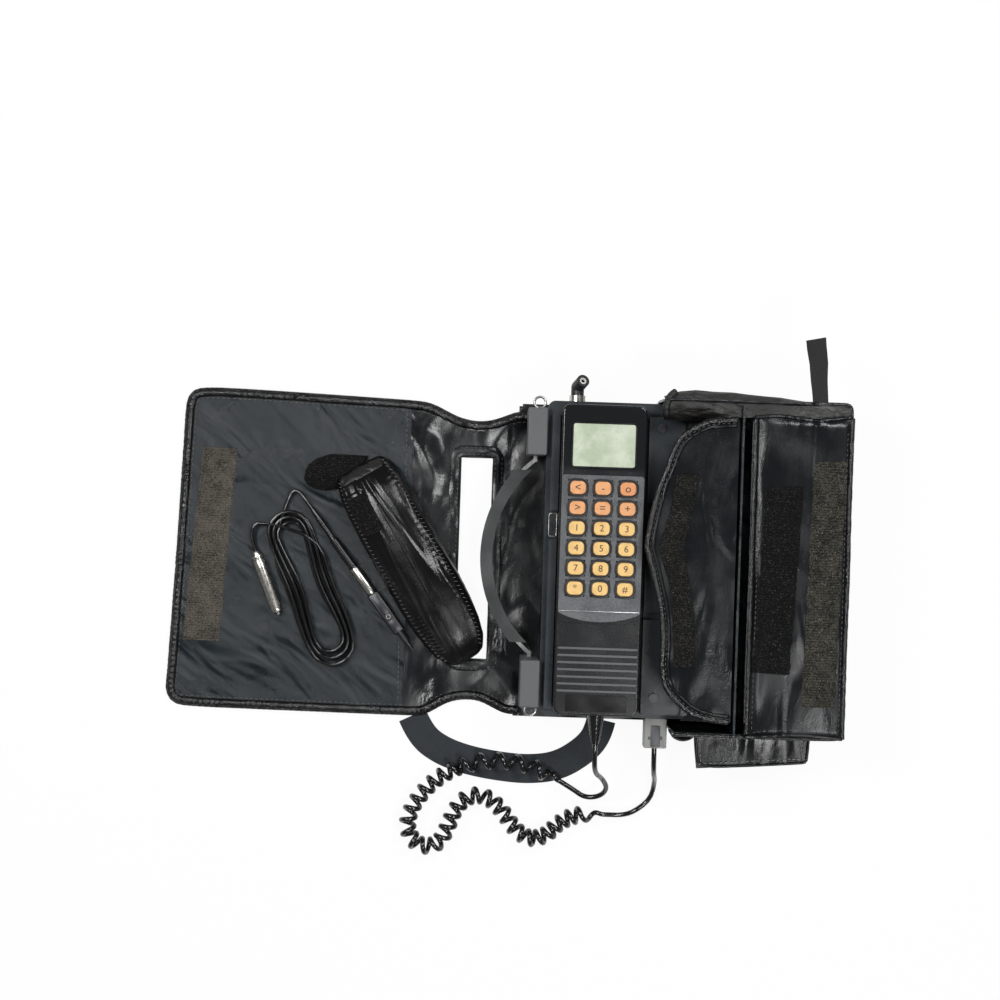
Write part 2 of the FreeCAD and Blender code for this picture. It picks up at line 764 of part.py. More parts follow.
def make_inside():
    """The radio board on four posts' height above the floor, and the battery beside the case."""
    low = s.panel_thick + s.case_wall
    wall = s.case_wall
    board = rounded(
        "RadioBoard", (s.case_left + wall, s.case_right - wall), (case_end + wall, case_head - wall),
        (s.case_split - s.board_thick, s.case_split), s.case_corner - wall,
    )
    node("radio_board", board)
    half = s.battery_length / 2
    pack = rounded(
        "BatteryPack", (s.case_right + s.battery_gap, bag_right - s.vinyl_thick), (s.phone_y - half, s.phone_y + half),
        (s.panel_thick, s.panel_thick + s.battery_height), 4, 2,
    )
    lug = block(
        "BatteryLug", (s.case_right, s.case_right + s.battery_gap + 4), (s.phone_y - 12, s.phone_y + 12), (low + 4, low + 12),
    )
    node("battery_pack", joined("BatteryPackWithLug", [pack, lug]))


def make_case_fittings():
    """Screws down through the upper shell, and a D-ring by each end of the handle."""
    screws = []
    for x in (deck_left + 8, s.case_right - 8):
        for y in (case_end + 14, case_head - 16):
            name = f"Screw{len(screws)}"
            z = top_z + s.block_height
            screws.append(rod(name, (x, y, z), s.screw_head / 2, 1.2))
    node("case_screws", group("CaseScrews", screws))
    rings = []
    middle = (s.ring_bore + s.ring_wire) / 2
    outer = middle + s.ring_wire / 2
    x = s.case_left - outer - s.soft_gap
    z = s.bracket_low + 8
    for k, (end, way) in enumerate(((bracket_high_end, 1), (bracket_low_end, -1))):
        name = f"DRing{k}"
        ring = doc.addObject("Part::Torus", name)
        ring.setExpression("Radius1", middle.text)
        ring.setExpression("Radius2", (s.ring_wire / 2).text)
        set_base(ring, (x, end + (outer + s.soft_gap) * way, z))
        lug_y = (end, end + s.ring_wire) if way > 0 else (end - s.ring_wire, end)
        lug = block(name + "Lug", (x - 1.5, x + 1.5), lug_y, (z - 2, z + 2))
        rings.append(joined(name + "WithLug", [ring, lug]))
    node("d_rings", group("DRings", rings))


def make_antenna():
    """A socket on the case's head and an elbow that turns on it."""
    x, z, radius = s.antenna_x, antenna_z, s.antenna_radius
    nut = rod("SocketNut", (x, case_head, z), radius + 1, s.socket_length, "y")
    node("antenna_socket", nut)
    centre = Vector(float(x), float(case_head + s.socket_length) + 0.05, float(z))
    r = float(radius)
    barrel = Part.makeCylinder(r, r + 1.5, centre, Vector(0, 1, 0))
    middle = centre + Vector(0, r + 1.5, 0)
    knuckle = Part.makeSphere(r, middle)
    tip_way = Vector(0.3, 0.35, 0.85).normalize()
    mouth = Part.makeCylinder(r, float(s.elbow_length), middle, tip_way)
    bore = Part.makeCylinder(float(s.antenna_bore), 5, middle + tip_way * (float(s.elbow_length) - 4), tip_way)
    elbow = barrel.fuse([knuckle, mouth]).removeSplitter().cut(bore)
    node("antenna_elbow", feature("AntennaElbow", elbow))


# Handset


def key_hole_grid(body, z, spare, corner):
    """Eighteen openings for the keys, with some room round each."""
    x = s.handset_x - s.key_pitch_x
    y = key_row_y
    half_w = s.key_width / 2 + spare
    half_d = s.key_depth / 2 + spare
    steps = ((3, s.key_pitch_x), (6, -s.key_pitch_y))
    return hole_grid(body, (x - half_w, x + half_w), (y - half_d, y + half_d), z, corner, steps)


def make_handset():
    """Back and front shells, key plate, lens, badge plate and the board that carries the keys."""
    half = s.handset_width / 2
    x = (s.handset_x - half, s.handset_x + half)
    y = (s.phone_y - s.handset_length / 2, s.phone_y + s.handset_length / 2)
    wall = s.handset_wall
    inner_x = (x[0] + wall, x[1] - wall)
    inner_y = (y[0] + wall, y[1] - wall)
    corner = s.handset_corner
    tub = rounded("HandsetTub", x, y, (handset_low, handset_split), corner)
    hollow = rounded(
        "HandsetHollow", inner_x, inner_y, (handset_low + wall, handset_split + 1), corner - wall,
    )
    node("handset_back", cut("HandsetBack", tub, hollow))
    lid = rounded("HandsetLid", x, y, (handset_split, handset_top), corner, 1.5)
    lid_hollow = rounded(
        "HandsetLidHollow", inner_x, inner_y, (handset_split - 1, handset_top - wall), corner - wall,
    )
    key_hole_grid(lid, (handset_top - wall - 1, handset_top), s.key_clear, s.key_corner)
    lens_x = (s.handset_x - s.lens_width / 2, s.handset_x + s.lens_width / 2)
    lens_middle = s.phone_y + s.lens_offset
    lens_y = (lens_middle - s.lens_height / 2, lens_middle + s.lens_height / 2)
    seat = block("LensSeat", lens_x, lens_y, (handset_top - s.lens_thick, handset_top + 1))
    node("handset_front", cut("HandsetFront", lid, lid_hollow, seat))
    node("display_lens", block("DisplayLens", lens_x, lens_y, (handset_top - s.lens_thick, handset_top)))
    plate_x = (s.handset_x - s.plate_width / 2, s.handset_x + s.plate_width / 2)
    top = handset_top + s.plate_thick
    keypad = rounded("KeypadPlate", plate_x, (s.phone_y + s.plate_low, s.phone_y + s.plate_high), (handset_top, top), 2)
    key_hole_grid(keypad, (handset_top - 1, top), s.key_surround, s.key_corner)
    node("keypad_plate", keypad)
    badge_y = s.phone_y + s.badge_offset
    badge = rounded(
        "BadgePlate", (s.handset_x - s.badge_width / 2, s.handset_x + s.badge_width / 2),
        (badge_y - s.badge_height / 2, badge_y + s.badge_height / 2),
        (handset_top, handset_top + 0.6), 0.8,
    )
    node("badge_plate", badge)
    board_top = handset_top - wall - s.key_travel - s.key_flange - s.key_clear
    board = rounded(
        "HandsetBoard", inner_x, inner_y,
        (board_top - s.board_thick, board_top), corner - wall,
    )
    node("handset_board", board)


def make_keys():
    """Eighteen keys in six rows, each with a flange under the front shell."""
    flange_top = handset_top - s.handset_wall - s.key_clear / 2
    names = [f"{row}{column}" for row in "abcdef" for column in (1, 2, 3)]
    for k, name in enumerate(names):
        x = s.handset_x + s.key_pitch_x * (k % 3 - 1)
        y = key_row_y - s.key_pitch_y * (k // 3)
        half_w = s.key_width / 2
        half_d = s.key_depth / 2
        cap = rounded(
            f"Key{name}Cap", (x - half_w, x + half_w), (y - half_d, y + half_d),
            (flange_top - s.key_flange, handset_top + s.key_rise), s.key_corner, s.key_rim,
        )
        flange = block(
            f"Key{name}Flange", (x - half_w - 0.8, x + half_w + 0.8), (y - half_d - 0.8, y + half_d + 0.8),
            (flange_top - s.key_flange, flange_top),
        )
        node(f"key_{name}", joined(f"Key{name}", [cap, flange]))


# Cords


def make_boot():
    boot = doc.addObject("Part::Cone", "CordBoot")
    boot.Placement = Placement(Vector(), Rotation(Vector(1, 0, 0), 90))
    boot.setExpression("Radius1", (s.boot_wide / 2).text)
    boot.setExpression("Radius2", (s.boot_slim / 2).text)
    boot.setExpression("Height", s.boot_length.text)
    set_base(boot, (boot_x, handset_end, boot_z))
    node("cord_boot", boot)


def coil_route():
    """The curly cord's middle line, set by hand from the photograph."""
    places = [
        (-71, -148), (-79, -143.4), (-88, -139.8), (-99, -136.6), (-112, -135.4), (-125, -136.4),
        (-137, -139.5), (-148, -145), (-158, -152.5), (-166, -162), (-172, -173), (-173, -185),
        (-165, -195), (-152, -194), (-146, -183), (-142, -171), (-135, -161.5), (-125, -158.5),
        (-115, -163), (-107, -172), (-100, -182), (-90, -188), (-79, -185), (-72, -177), (-62, -171),
        (-50, -169.5), (-40, -169.5),
    ]
    return [Vector(x, y, float(coil_z)) for x, y in places]


def curl_pitch(share):
    """Loose curls near the handset, close ones where the cord is slack."""
    return 12.5 if share < 0.22 else 7.9 if share < 0.8 else 6.6


def coil_marks(length):
    """How far along the middle line each quarter turn lies."""
    places = [0.0]
    while places[-1] < length:
        share = places[-1] / length
        places.append(places[-1] + curl_pitch(share) / 4)
    scale = length / places[-1]
    return [p * scale for p in places]


def make_coil():
    """The curly cord as one helix wound on its middle line."""
    line = smooth(coil_route())
    length = line.length()
    marks = coil_marks(length)
    radius = float(s.curl_radius)
    last = len(marks) - 1
    turn_in = 4.0

    def curve(phase):
        low = min(max(int(math.floor(phase)), 0), last - 1)
        along = marks[low] + (marks[low + 1] - marks[low]) * (phase - low)
        along = min(max(along, 0.001), length - 0.001)
        where = line.parameterAtDistance(along)
        centre = line.value(where)
        forward = Vector(*line.tangent(where)[0])
        side = Vector(0, 0, 1).cross(forward).normalize()
        swell = min(1.0, max(0.0, min(phase, last - phase) / turn_in))
        swell = swell * swell * (3 - 2 * swell)
        angle = math.pi / 2 * phase
        ring = side * math.cos(angle) + Vector(0, 0, 1) * math.sin(angle)
        return centre + ring * radius * swell

    places = stations(curve, [0.01] + list(range(1, last)) + [last - 0.01])
    print("handset_coil curls", round(last / 4, 1))
    thick = float(s.cord_diameter)
    node("handset_coil", feature("HandsetCoil", wound_tube(places, thick, "handset_coil")))
    return places[0], places[-1]


def make_drop(coil_start):
    """The plain cord from the handset's boot down to the coil."""
    thick = float(s.cord_diameter)
    point, way = coil_start
    begin = point - way * thick
    first = Vector(float(boot_x), float(handset_end - s.boot_length), float(boot_z))
    route = [
        first, first + Vector(0, -10, 0), first + Vector(1.2, -21, -9.5), first + Vector(7.2, -26.9, -26.5),
        Vector(-39.3, -150.3, 17), Vector(-44.1, -157, 10.7), Vector(-54, -158.4, 8.2), begin - way * 7.7, begin,
    ]
    node("cord_drop", feature("CordDrop", straight_cord(route, thick, "cord_drop")))


def make_tail(coil_end):
    """The plain cord from the coil to the modular plug."""
    thick = float(s.cord_diameter)
    point, way = coil_end
    finish = point + way * thick
    low = thick / 2 + 0.1
    plug_end = Vector(float(s.plug_x), float(case_end - s.plug_length), float(plug_low + s.plug_height / 2))
    route = [
        finish, finish + way * 8, Vector(-20, -168, low + 1.5), Vector(-8.5, -159, low),
        plug_end + Vector(4, -26, -27), plug_end + Vector(1.2, -20, -8.5), plug_end + Vector(0, -9.5, 0),
        plug_end,
    ]
    node("cord_tail", feature("CordTail", straight_cord(route, thick, "cord_tail")))


def make_plug():
    """The modular plug, its nose in the jack of the upper shell."""
    half = s.plug_width / 2
    x = (s.plug_x - half, s.plug_x + half)
    body = rounded(
        "PlugBody", x, (case_end - s.plug_length, case_end), (plug_low, plug_low + s.plug_height), 1.2, 1,
    )
    nose = block(
        "PlugNose", (s.plug_x - 5.2, s.plug_x + 5.2), (case_end - 1, case_end + s.plug_nose),
        (plug_low + 1.4, plug_low + s.plug_height - 1.4),
    )
    node("cord_plug", joined("CordPlug", [body, nose]))


def make_shoulder_strap():
    """Flat webbing from the flap's lower edge to the bag's lower edge."""
    half = float(s.strap_width) / 2
    middle = [
        (-172, -110), (-166, -121), (-152, -131), (-134, -137), (-113, -140.5), (-92, -142), (-72, -139),
        (-55, -128), (-46, -117), (-44, float(bag_low - s.soft_gap)),
    ]
    sides = [[], []]
    for k, (x, y) in enumerate(middle):
        before = middle[max(k - 1, 0)]
        after = middle[min(k + 1, len(middle) - 1)]
        way = Vector(after[0] - before[0], after[1] - before[1], 0).normalize()
        for side, sign in zip(sides, (1, -1)):
            side.append((x - way.y * half * sign, y + way.x * half * sign))
    top = float(bag_low - s.soft_gap)
    sides[0][-1] = (sides[0][-1][0], top)
    sides[1][-1] = (sides[1][-1][0], top)
    outline = sides[0] + sides[1][::-1]
    node("shoulder_strap", feature("ShoulderStrap", plate(outline, 0, s.strap_thick, 14)))


# Pouch and car lead


def pouch_section(along, width, height, bulge):
    """A flat-bottomed arch across the pouch."""
    half = width / 2
    a, b = Vector(along, -half, 0), Vector(along, half, 0)
    shoulder_low = Vector(along, -half * 0.72, height * 0.8)
    shoulder_high = Vector(along, half * 0.72, height * 0.8)
    edges = [
        Part.LineSegment(b, a).toShape(),
        Part.Arc(a, Vector(along, -half * 0.98, height * bulge), shoulder_low).toShape(),
        Part.Arc(shoulder_low, Vector(along, 0, height), shoulder_high).toShape(),
        Part.Arc(shoulder_high, Vector(along, half * 0.98, height * bulge), b).toShape(),
    ]
    return Part.Wire(edges)


def accessory_place(x, y, turn, rise=0.0):
    """Where an accessory's own X axis lies on the cover."""
    lift = float(s.panel_thick + s.soft_gap) + rise
    return Placement(Vector(x, y, lift), Rotation(Vector(0, 0, 1), turn))


def make_pouch():
    """A stuffed leatherette pouch with its open cuff, lying across the spine and cover."""
    length, width, height = float(s.pouch_length), float(s.pouch_width), float(s.pouch_height)
    shares = [(0, 0.7, 0.55), (0.08, 0.9, 0.8), (0.3, 1, 1), (0.65, 1, 1), (0.88, 0.86, 0.85), (1, 0.5, 0.45)]
    wires = [pouch_section(t * length, width * w, height * h, 0.4) for t, w, h in shares]
    body = feature("PouchBody", Part.makeLoft(wires, True, False))
    body.Placement = accessory_place(-214, 60.6, float(s.pouch_turn))
    node("pouch_body", body)
    outline = [(-250, 47), (-249, 58), (-236, 67), (-214, 68), (-218.5, 58.5), (-224, 46), (-236, 42)]
    low = s.panel_thick + s.soft_gap
    cuff = plate(outline, low, low + 9, 5).cut(body.Shape)
    node("pouch_cuff", feature("PouchCuff", cuff))


def hank_curve(phase):
    """Loops that spiral in on one layer and out again on the next, drawn in at the waist."""
    turns = float(s.hank_turns)
    thick = float(s.lead_diameter)
    step = thick + 1.25
    angle = math.pi * (1 + phase / 2)
    turn = phase / 4
    inward = min(turn, turns - turn)
    layer = min(1.0, max(0.0, (turn - turns / 2 + 0.25) / 0.5))
    layer = layer * layer * (3 - 2 * layer)
    length = float(s.hank_length) / 2 - step * inward
    width = float(s.hank_width) / 2 - step * inward * 1.15
    x = length * math.cos(angle)
    y = width * math.sin(angle) + float(s.hank_waist) * math.sin(3 * angle)
    return Vector(x, y, thick / 2 + layer * (thick + 0.7))


def make_lead():
    """The car lead: a hank with a power plug on one end and a barrel plug on the other."""
    thick = float(s.lead_diameter)
    place = accessory_place(-244, -22, float(s.hank_turn))
    count = int(float(s.hank_turns) * 8)
    places = stations(lambda m: place.multVec(hank_curve(m)), [k / 2 for k in range(count + 1)])
    power = accessory_place(-243.5, 29, float(s.power_turn), 4.4)
    power_way = power.Rotation.multVec(Vector(1, 0, 0))
    leave = (power.Base - power_way * thick, power_way * -1)
    over = (Vector(-257, 41, power.Base.z - 1.5), Vector(-1, -0.15, -0.1).normalize())
    finish, finish_way = places[-1]
    barrel = accessory_place(-281, 0, float(s.barrel_turn), float(s.barrel_radius) + 0.1)
    barrel_way = barrel.Rotation.multVec(Vector(1, 0, 0))
    enter = (barrel.Base - barrel_way * thick, barrel_way)
    bend = (Vector(-283.5, 14, barrel.Base.z - 1), Vector(-0.25, -1, 0).normalize())
    places = [leave, over] + places + [bend, enter]
    node("lead_hank", feature("LeadHank", wound_tube(places, thick, "lead_hank")))
    make_power_plug(power)
    make_barrel_plug(barrel)


def turned_parts(parts):
    """Round parts one after another along X: each a length and two radii."""
    solids = []
    start = 0
    for length, near, far in parts:
        base = Vector(start, 0, 0)
        way = Vector(1, 0, 0)
        if near == far:
            solids.append(Part.makeCylinder(near, length, base, way))
        else:
            solids.append(Part.makeCone(near, far, length, base, way))
        start += length
    return solids[0].fuse(solids[1:]).removeSplitter()


def make_power_plug(place):
    """Ribbed boot, grip, metal barrel, side contact and nose."""
    boot, grip = float(s.power_boot), float(s.power_grip)
    ribs = [(boot, 1.7, 2.6)]
    for k in range(8):
        ribs += [(grip / 16, 3.4, 3.4), (grip / 16, 2.9, 2.9)]
    metal, contact, nose = float(s.power_metal), float(s.power_contact), float(s.power_nose)
    plug = turned_parts(ribs + [(metal, 3.5, 3.5), (contact, 2.8, 2.8), (nose * 0.5, 2.4, 2.4), (nose * 0.5, 1.6, 1)])
    start = boot + grip + metal
    blade = solid_box((start, start + contact), (-4, 4), (-3.6, 3.2))
    hole = Part.makeCylinder(1, 3, Vector(start + contact * 0.62, 0, 1), Vector(0, 0, 1))
    item = feature("LighterPlug", plug.fuse(blade).removeSplitter().cut(hole))
    item.Placement = place
    node("lighter_plug", item)


def make_barrel_plug(place):
    """A nickel plug with a collar at the cable and a small tip."""
    radius = float(s.barrel_radius)
    length = float(s.barrel_length)
    parts = [(3, radius * 0.55, radius * 0.8), (1.6, radius, radius), (1.4, radius * 0.8, radius * 0.8),
             (length, radius, radius), (1.2, radius * 0.8, radius * 0.8), (2.4, 1.2, 1.2)]
    item = feature("BarrelPlug", turned_parts(parts))
    item.Placement = place
    node("barrel_plug", item)


make_back_panel()
make_tub()
make_pocket()
make_loop_strips()
make_side_flaps()
make_pull_tab()
make_flap()
make_cover_hook()
make_pocket_flap()
make_case()
make_brackets()
make_handle()
make_inside()
make_case_fittings()
make_antenna()
make_handset()
make_keys()
make_boot()
coil_start, coil_end = make_coil()
make_drop(coil_start)
make_tail(coil_end)
make_plug()
make_shoulder_strap()
make_pouch()
make_lead()
doc.recompute()

os.makedirs("parts", exist_ok=True)
for item in doc.Objects:
    if "Invalid" in item.State or "Error" in item.State:
        raise SystemExit(f"{item.Name} failed: {item.State}")
for item in nodes:
    shape = item.Shape
    if shape.isNull() or not shape.isValid():
        raise SystemExit(f"{item.Label} has no valid shape")
    shape.exportStep(f"parts/{item.Label}.step")
print(len(nodes), "nodes")
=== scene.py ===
# %% [markdown]
# A cellular bag phone, opened flat on a pale table and seen from straight above. The imported CAD parts are
# the fixed frame: they give the bodies, the hinges and the hard parts' sizes. The soft forms are drawn over
# them through given points, in millimetres, and brought to metres when a piece is finished.

# %% The frame and the tools
import math
import random

import bmesh
import bpy
from mathutils import Matrix, Vector, noise
from mathutils.bvhtree import BVHTree


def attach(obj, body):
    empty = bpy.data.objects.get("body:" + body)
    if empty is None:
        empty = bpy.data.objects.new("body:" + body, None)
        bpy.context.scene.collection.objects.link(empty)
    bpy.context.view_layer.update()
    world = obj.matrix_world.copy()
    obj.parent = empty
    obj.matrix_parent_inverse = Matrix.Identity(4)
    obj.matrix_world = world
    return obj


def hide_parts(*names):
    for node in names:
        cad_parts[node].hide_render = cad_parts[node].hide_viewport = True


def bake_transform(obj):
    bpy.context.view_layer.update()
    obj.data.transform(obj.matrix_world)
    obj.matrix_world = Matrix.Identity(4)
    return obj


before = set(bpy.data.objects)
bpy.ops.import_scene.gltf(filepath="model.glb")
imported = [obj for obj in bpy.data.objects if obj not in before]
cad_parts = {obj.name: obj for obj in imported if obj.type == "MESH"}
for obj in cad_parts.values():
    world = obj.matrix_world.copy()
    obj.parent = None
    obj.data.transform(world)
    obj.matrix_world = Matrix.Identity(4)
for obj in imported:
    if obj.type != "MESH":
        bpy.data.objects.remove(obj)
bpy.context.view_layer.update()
MM = 0.001

# %% [markdown]
# The photograph looks straight down from a little over a metre, turned by about two degrees. The tall
# pocket, nearer to the lens, is drawn larger than the flap on the table, and that is what fixed the
# camera's height. From lower down, with a wider lens, more of the walls would show.

# %% Camera
CAMERA_PLACE = (-0.1175, 0.0400, 1.070)
CAMERA_TURN = 1.9
CAMERA_LENS = 56.74
sight = bpy.data.cameras.new("sight")
camera = bpy.data.objects.new("sight", sight)
bpy.context.collection.objects.link(camera)
camera.location = CAMERA_PLACE
camera.rotation_euler = (0, 0, math.radians(CAMERA_TURN))
sight.sensor_width = 36
sight.lens = CAMERA_LENS
sight.clip_start = 0.01
bpy.context.scene.camera = camera
bpy.context.scene.view_settings.view_transform = "Standard"

# %% [markdown]
# Shader maths is easier to read as arithmetic. Value wraps one socket and turns + - * / into Math nodes.
# Finish holds one material: its shader, and one method that adds any other node. Patterns are placed on
# Object coordinates, in millimetres, so a grain has its real size on every piece.

# %% Shader arithmetic
class Value:
    def __init__(self, finish, socket):
        self.finish = finish
        self.socket = socket

    def math(self, operation, other=None, swap=False, third=None):
        given = [self, other] if not swap else [other, self]
        given = [v for v in given + [third] if v is not None]
        return self.finish.node("ShaderNodeMath", {"operation": operation}, dict(enumerate(given)))

    def __add__(self, other):
        return self.math("ADD", other)

    def __sub__(self, other):
        return self.math("SUBTRACT", other)

    def __mul__(self, other):
        return self.math("MULTIPLY", other)

    def __rsub__(self, other):
        return self.math("SUBTRACT", other, swap=True)

    __radd__ = __add__
    __rmul__ = __mul__

    def ramp(self, low, high, start=0.0, end=1.0):
        """Maps low..high to start..end and holds outside it."""
        return self.finish.node(
            "ShaderNodeMapRange", {"clamp": True},
            {"Value": self, "From Min": low, "From Max": high, "To Min": start, "To Max": end},
        )


class Finish:
    def __init__(self, name, colour, rough, **fixed):
        self.material = bpy.data.materials.new(name)
        self.material.use_nodes = True
        self.tree = self.material.node_tree
        self.shader = self.tree.nodes["Principled BSDF"]
        self.shader.inputs["Base Color"].default_value = (*colour, 1)
        self.shader.inputs["Roughness"].default_value = rough
        self.colour = colour
        for name, value in fixed.items():
            self.shader.inputs[name.replace("_", " ")].default_value = value

    def node(self, kind, settings=None, sockets=None, out=0):
        item = self.tree.nodes.new(kind)
        for name, value in (settings or {}).items():
            if name == "stops":
                ramp = item.color_ramp
                while len(ramp.elements) < len(value):
                    ramp.elements.new(0.5)
                for element, (place, colour) in zip(ramp.elements, value):
                    element.position = place
                    element.color = (*colour, 1)
            else:
                setattr(item, name, value)
        for name, value in (sockets or {}).items():
            if isinstance(value, Value):
                self.tree.links.new(value.socket, item.inputs[name])
            elif isinstance(value, tuple) and len(value) == 3 and item.inputs[name].type == "RGBA":
                item.inputs[name].default_value = (*value, 1)
            else:
                item.inputs[name].default_value = value
        return Value(self, item.outputs[out])

    def feed(self, socket, value):
        self.tree.links.new(value.socket, self.shader.inputs[socket])
        return self

    def place(self, size=(1, 1, 1), turn=0.0):
        """Object coordinates in millimetres, stretched by 1/size and turned about Z."""
        where = self.node("ShaderNodeTexCoord", out=3)
        scale = tuple(s * MM for s in size)
        return self.node(
            "ShaderNodeMapping", {"vector_type": "TEXTURE"},
            {"Vector": where, "Rotation": (0, 0, turn), "Scale": scale},
        )

    def grain(self, size, detail=2, where=None, rough=0.5, bend=0.0):
        """Soft noise from 0 to 1, with lumps of a size in millimetres."""
        where = where or self.place((size, size, size))
        return self.node(
            "ShaderNodeTexNoise", {}, {"Vector": where, "Scale": 1.0, "Detail": detail,
                                       "Roughness": rough, "Distortion": bend},
        )

    def cells(self, size, feature="F1", where=None, out=0):
        where = where or self.place((size, size, size))
        return self.node(
            "ShaderNodeTexVoronoi", {"feature": feature}, {"Vector": where, "Scale": 1.0}, out,
        )

    def axis(self, where, letter):
        split = self.node("ShaderNodeSeparateXYZ", {}, {"Vector": where}, out="XYZ".index(letter))
        return split

    def mix(self, share, low, high):
        """One colour or another by a share from 0 to 1."""
        node = self.tree.nodes.new("ShaderNodeMix")
        node.data_type = "RGBA"
        for name, value in (("Factor", share), ("A", low), ("B", high)):
            socket = [s for s in node.inputs if s.name == name and s.enabled][0]
            if isinstance(value, Value):
                self.tree.links.new(value.socket, socket)
            else:
                socket.default_value = (*value, 1) if name != "Factor" else value
        return Value(self, [s for s in node.outputs if s.enabled][0])

    def bump(self, height, depth, under=None):
        """Raise the surface by height times depth millimetres."""
        sockets = {"Height": height, "Strength": 1.0, "Distance": depth * MM}
        if under:
            sockets["Normal"] = under
        return self.node("ShaderNodeBump", {}, sockets)


print("shader helpers ready")

# %% [markdown]
# Three lamps do the work of the room: a broad one high on the right and one to each side of the bag, which
# make the bright streaks on the creased vinyl. To the camera the backdrop is white and the table nearly so,
# but both give the object little light. A white room would turn its black parts grey.

# %% Table, backdrop and lights
FLOOR_GLOW = 0.93
BACKDROP_LIGHT = 0.14


def shade_floor():
    finish = Finish("table_top", (0.86, 0.86, 0.86), 0.9)
    output = finish.tree.nodes["Material Output"]
    path = finish.node("ShaderNodeLightPath", out=0)
    lit = finish.tree.nodes.new("ShaderNodeEmission")
    lit.inputs["Color"].default_value = (1, 1, 1, 1)
    mixed = finish.tree.nodes.new("ShaderNodeMixShader")
    finish.tree.links.new((path * FLOOR_GLOW).socket, mixed.inputs["Fac"])
    finish.tree.links.new(finish.shader.outputs[0], mixed.inputs[1])
    finish.tree.links.new(lit.outputs[0], mixed.inputs[2])
    finish.tree.links.new(mixed.outputs[0], output.inputs["Surface"])
    return finish.material


table = bmesh.new()
bmesh.ops.create_grid(table, x_segments=1, y_segments=1, size=3)
table_mesh = bpy.data.meshes.new("table_top")
table.to_mesh(table_mesh)
table_mesh.transform(Matrix.Translation((0, 0, -0.0004)))
table_top = bpy.data.objects.new("table_top", table_mesh)
table_top.data.materials.append(shade_floor())
bpy.context.collection.objects.link(table_top)

world = bpy.data.worlds.new("room")
bpy.context.scene.world = world
world.use_nodes = True
room = world.node_tree
back = room.nodes["Background"]
path = room.nodes.new("ShaderNodeLightPath")
seen = room.nodes.new("ShaderNodeMath")
seen.operation = "MAXIMUM"
room.links.new(path.outputs["Is Camera Ray"], seen.inputs[0])
room.links.new(path.outputs["Is Transmission Ray"], seen.inputs[1])
level = room.nodes.new("ShaderNodeMapRange")
level.inputs["To Min"].default_value = BACKDROP_LIGHT
room.links.new(seen.outputs[0], level.inputs["Value"])
room.links.new(level.outputs[0], back.inputs["Strength"])
back.inputs["Color"].default_value = (1, 1, 1, 1)


def lamp(name, place, aim, size, power):
    light = bpy.data.lights.new(name, "AREA")
    light.shape = "RECTANGLE"
    light.size, light.size_y = size
    light.energy = power
    item = bpy.data.objects.new(name, light)
    item.location = place
    item.rotation_euler = (Vector(aim) - Vector(place)).to_track_quat("-Z", "Y").to_euler()
    bpy.context.collection.objects.link(item)


lamp("overhead", (0.55, 0.8, 1.4), (-0.1, 0, 0), (0.7, 0.4), 12)
lamp("window_left", (-0.75, 0.3, 1.25), (-0.2, 0, 0), (0.3, 0.6), 10)
lamp("window_right", (0.35, -0.5, 1.3), (0, 0, 0), (0.5, 0.25), 7)
print("lights ready")

# %% [markdown]
# A piece is finished by one helper. It brings millimetres to metres, smooths the shading and hides the
# CAD solids that it stands for; put also hangs the piece on the body that carries it.

# %% Making a piece
def add_piece(name, bm, finish, slot, replaces=(), smooth=40, outward=True):
    if outward:
        bmesh.ops.recalc_face_normals(bm, faces=bm.faces)
    mesh = bpy.data.meshes.new(name)
    bm.to_mesh(mesh)
    bm.free()
    mesh.transform(Matrix.Scale(MM, 4))
    mesh.shade_smooth()
    if smooth < 180:
        mesh.set_sharp_from_angle(angle=math.radians(smooth))
    item = bpy.data.objects.new(name, mesh)
    item.data.materials.append(finish.material)
    bpy.context.collection.objects.link(item)
    if replaces:
        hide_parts(*replaces)
    return item


def ride(item, body):
    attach(item, body)
    return item


def put(body, *given, **named):
    """Add a piece that rides on a body."""
    return ride(add_piece(*given, **named), body)


def finish_modifiers(item):
    """Apply an object's modifiers to its mesh."""
    graph = bpy.context.evaluated_depsgraph_get()
    mesh = bpy.data.meshes.new_from_object(item.evaluated_get(graph))
    item.modifiers.clear()
    item.data = mesh
    return item


def between(a, b, t):
    return a + (b - a) * t


def stops(pairs, t):
    """A value read off a list of (place, value) pairs, straight between them."""
    for (t0, v0), (t1, v1) in zip(pairs, pairs[1:]):
        if t <= t1:
            return between(v0, v1, max(0.0, t - t0) / (t1 - t0))
    return pairs[-1][1]


def soft_step(t):
    t = min(1.0, max(0.0, t))
    return t * t * (3 - 2 * t)


def rumple(x, y, size, seed=0.0, z=0.0):
    """Smooth noise from about -1 to 1."""
    return noise.noise(Vector((x / size, y / size, z / size + seed * 7.3)))


def creases(x, y, size, seed=0.0):
    """Noise folded over, so that it has sharp creases and soft hollows."""
    return 1 - 2 * abs(noise.noise(Vector((x / size, y / size, seed * 5.1))))


def thicken(bm, depth):
    """Give a sheet a wall below its face."""
    bmesh.ops.recalc_face_normals(bm, faces=bm.faces)
    if sum(face.normal.z for face in bm.faces) < 0:
        bmesh.ops.reverse_faces(bm, faces=bm.faces)
    bmesh.ops.solidify(bm, geom=bm.faces[:], thickness=depth)
    return bm


def sheet_bm(columns, rows, at, thick=0.0):
    """A grid laid out by at(u, v), with a wall of a thickness under it."""
    bm = bmesh.new()
    bmesh.ops.create_grid(bm, x_segments=columns, y_segments=rows, size=0.5)
    for vert in bm.verts:
        vert.co = Vector(at(vert.co.x + 0.5, vert.co.y + 0.5))
    return thicken(bm, thick) if thick else bm


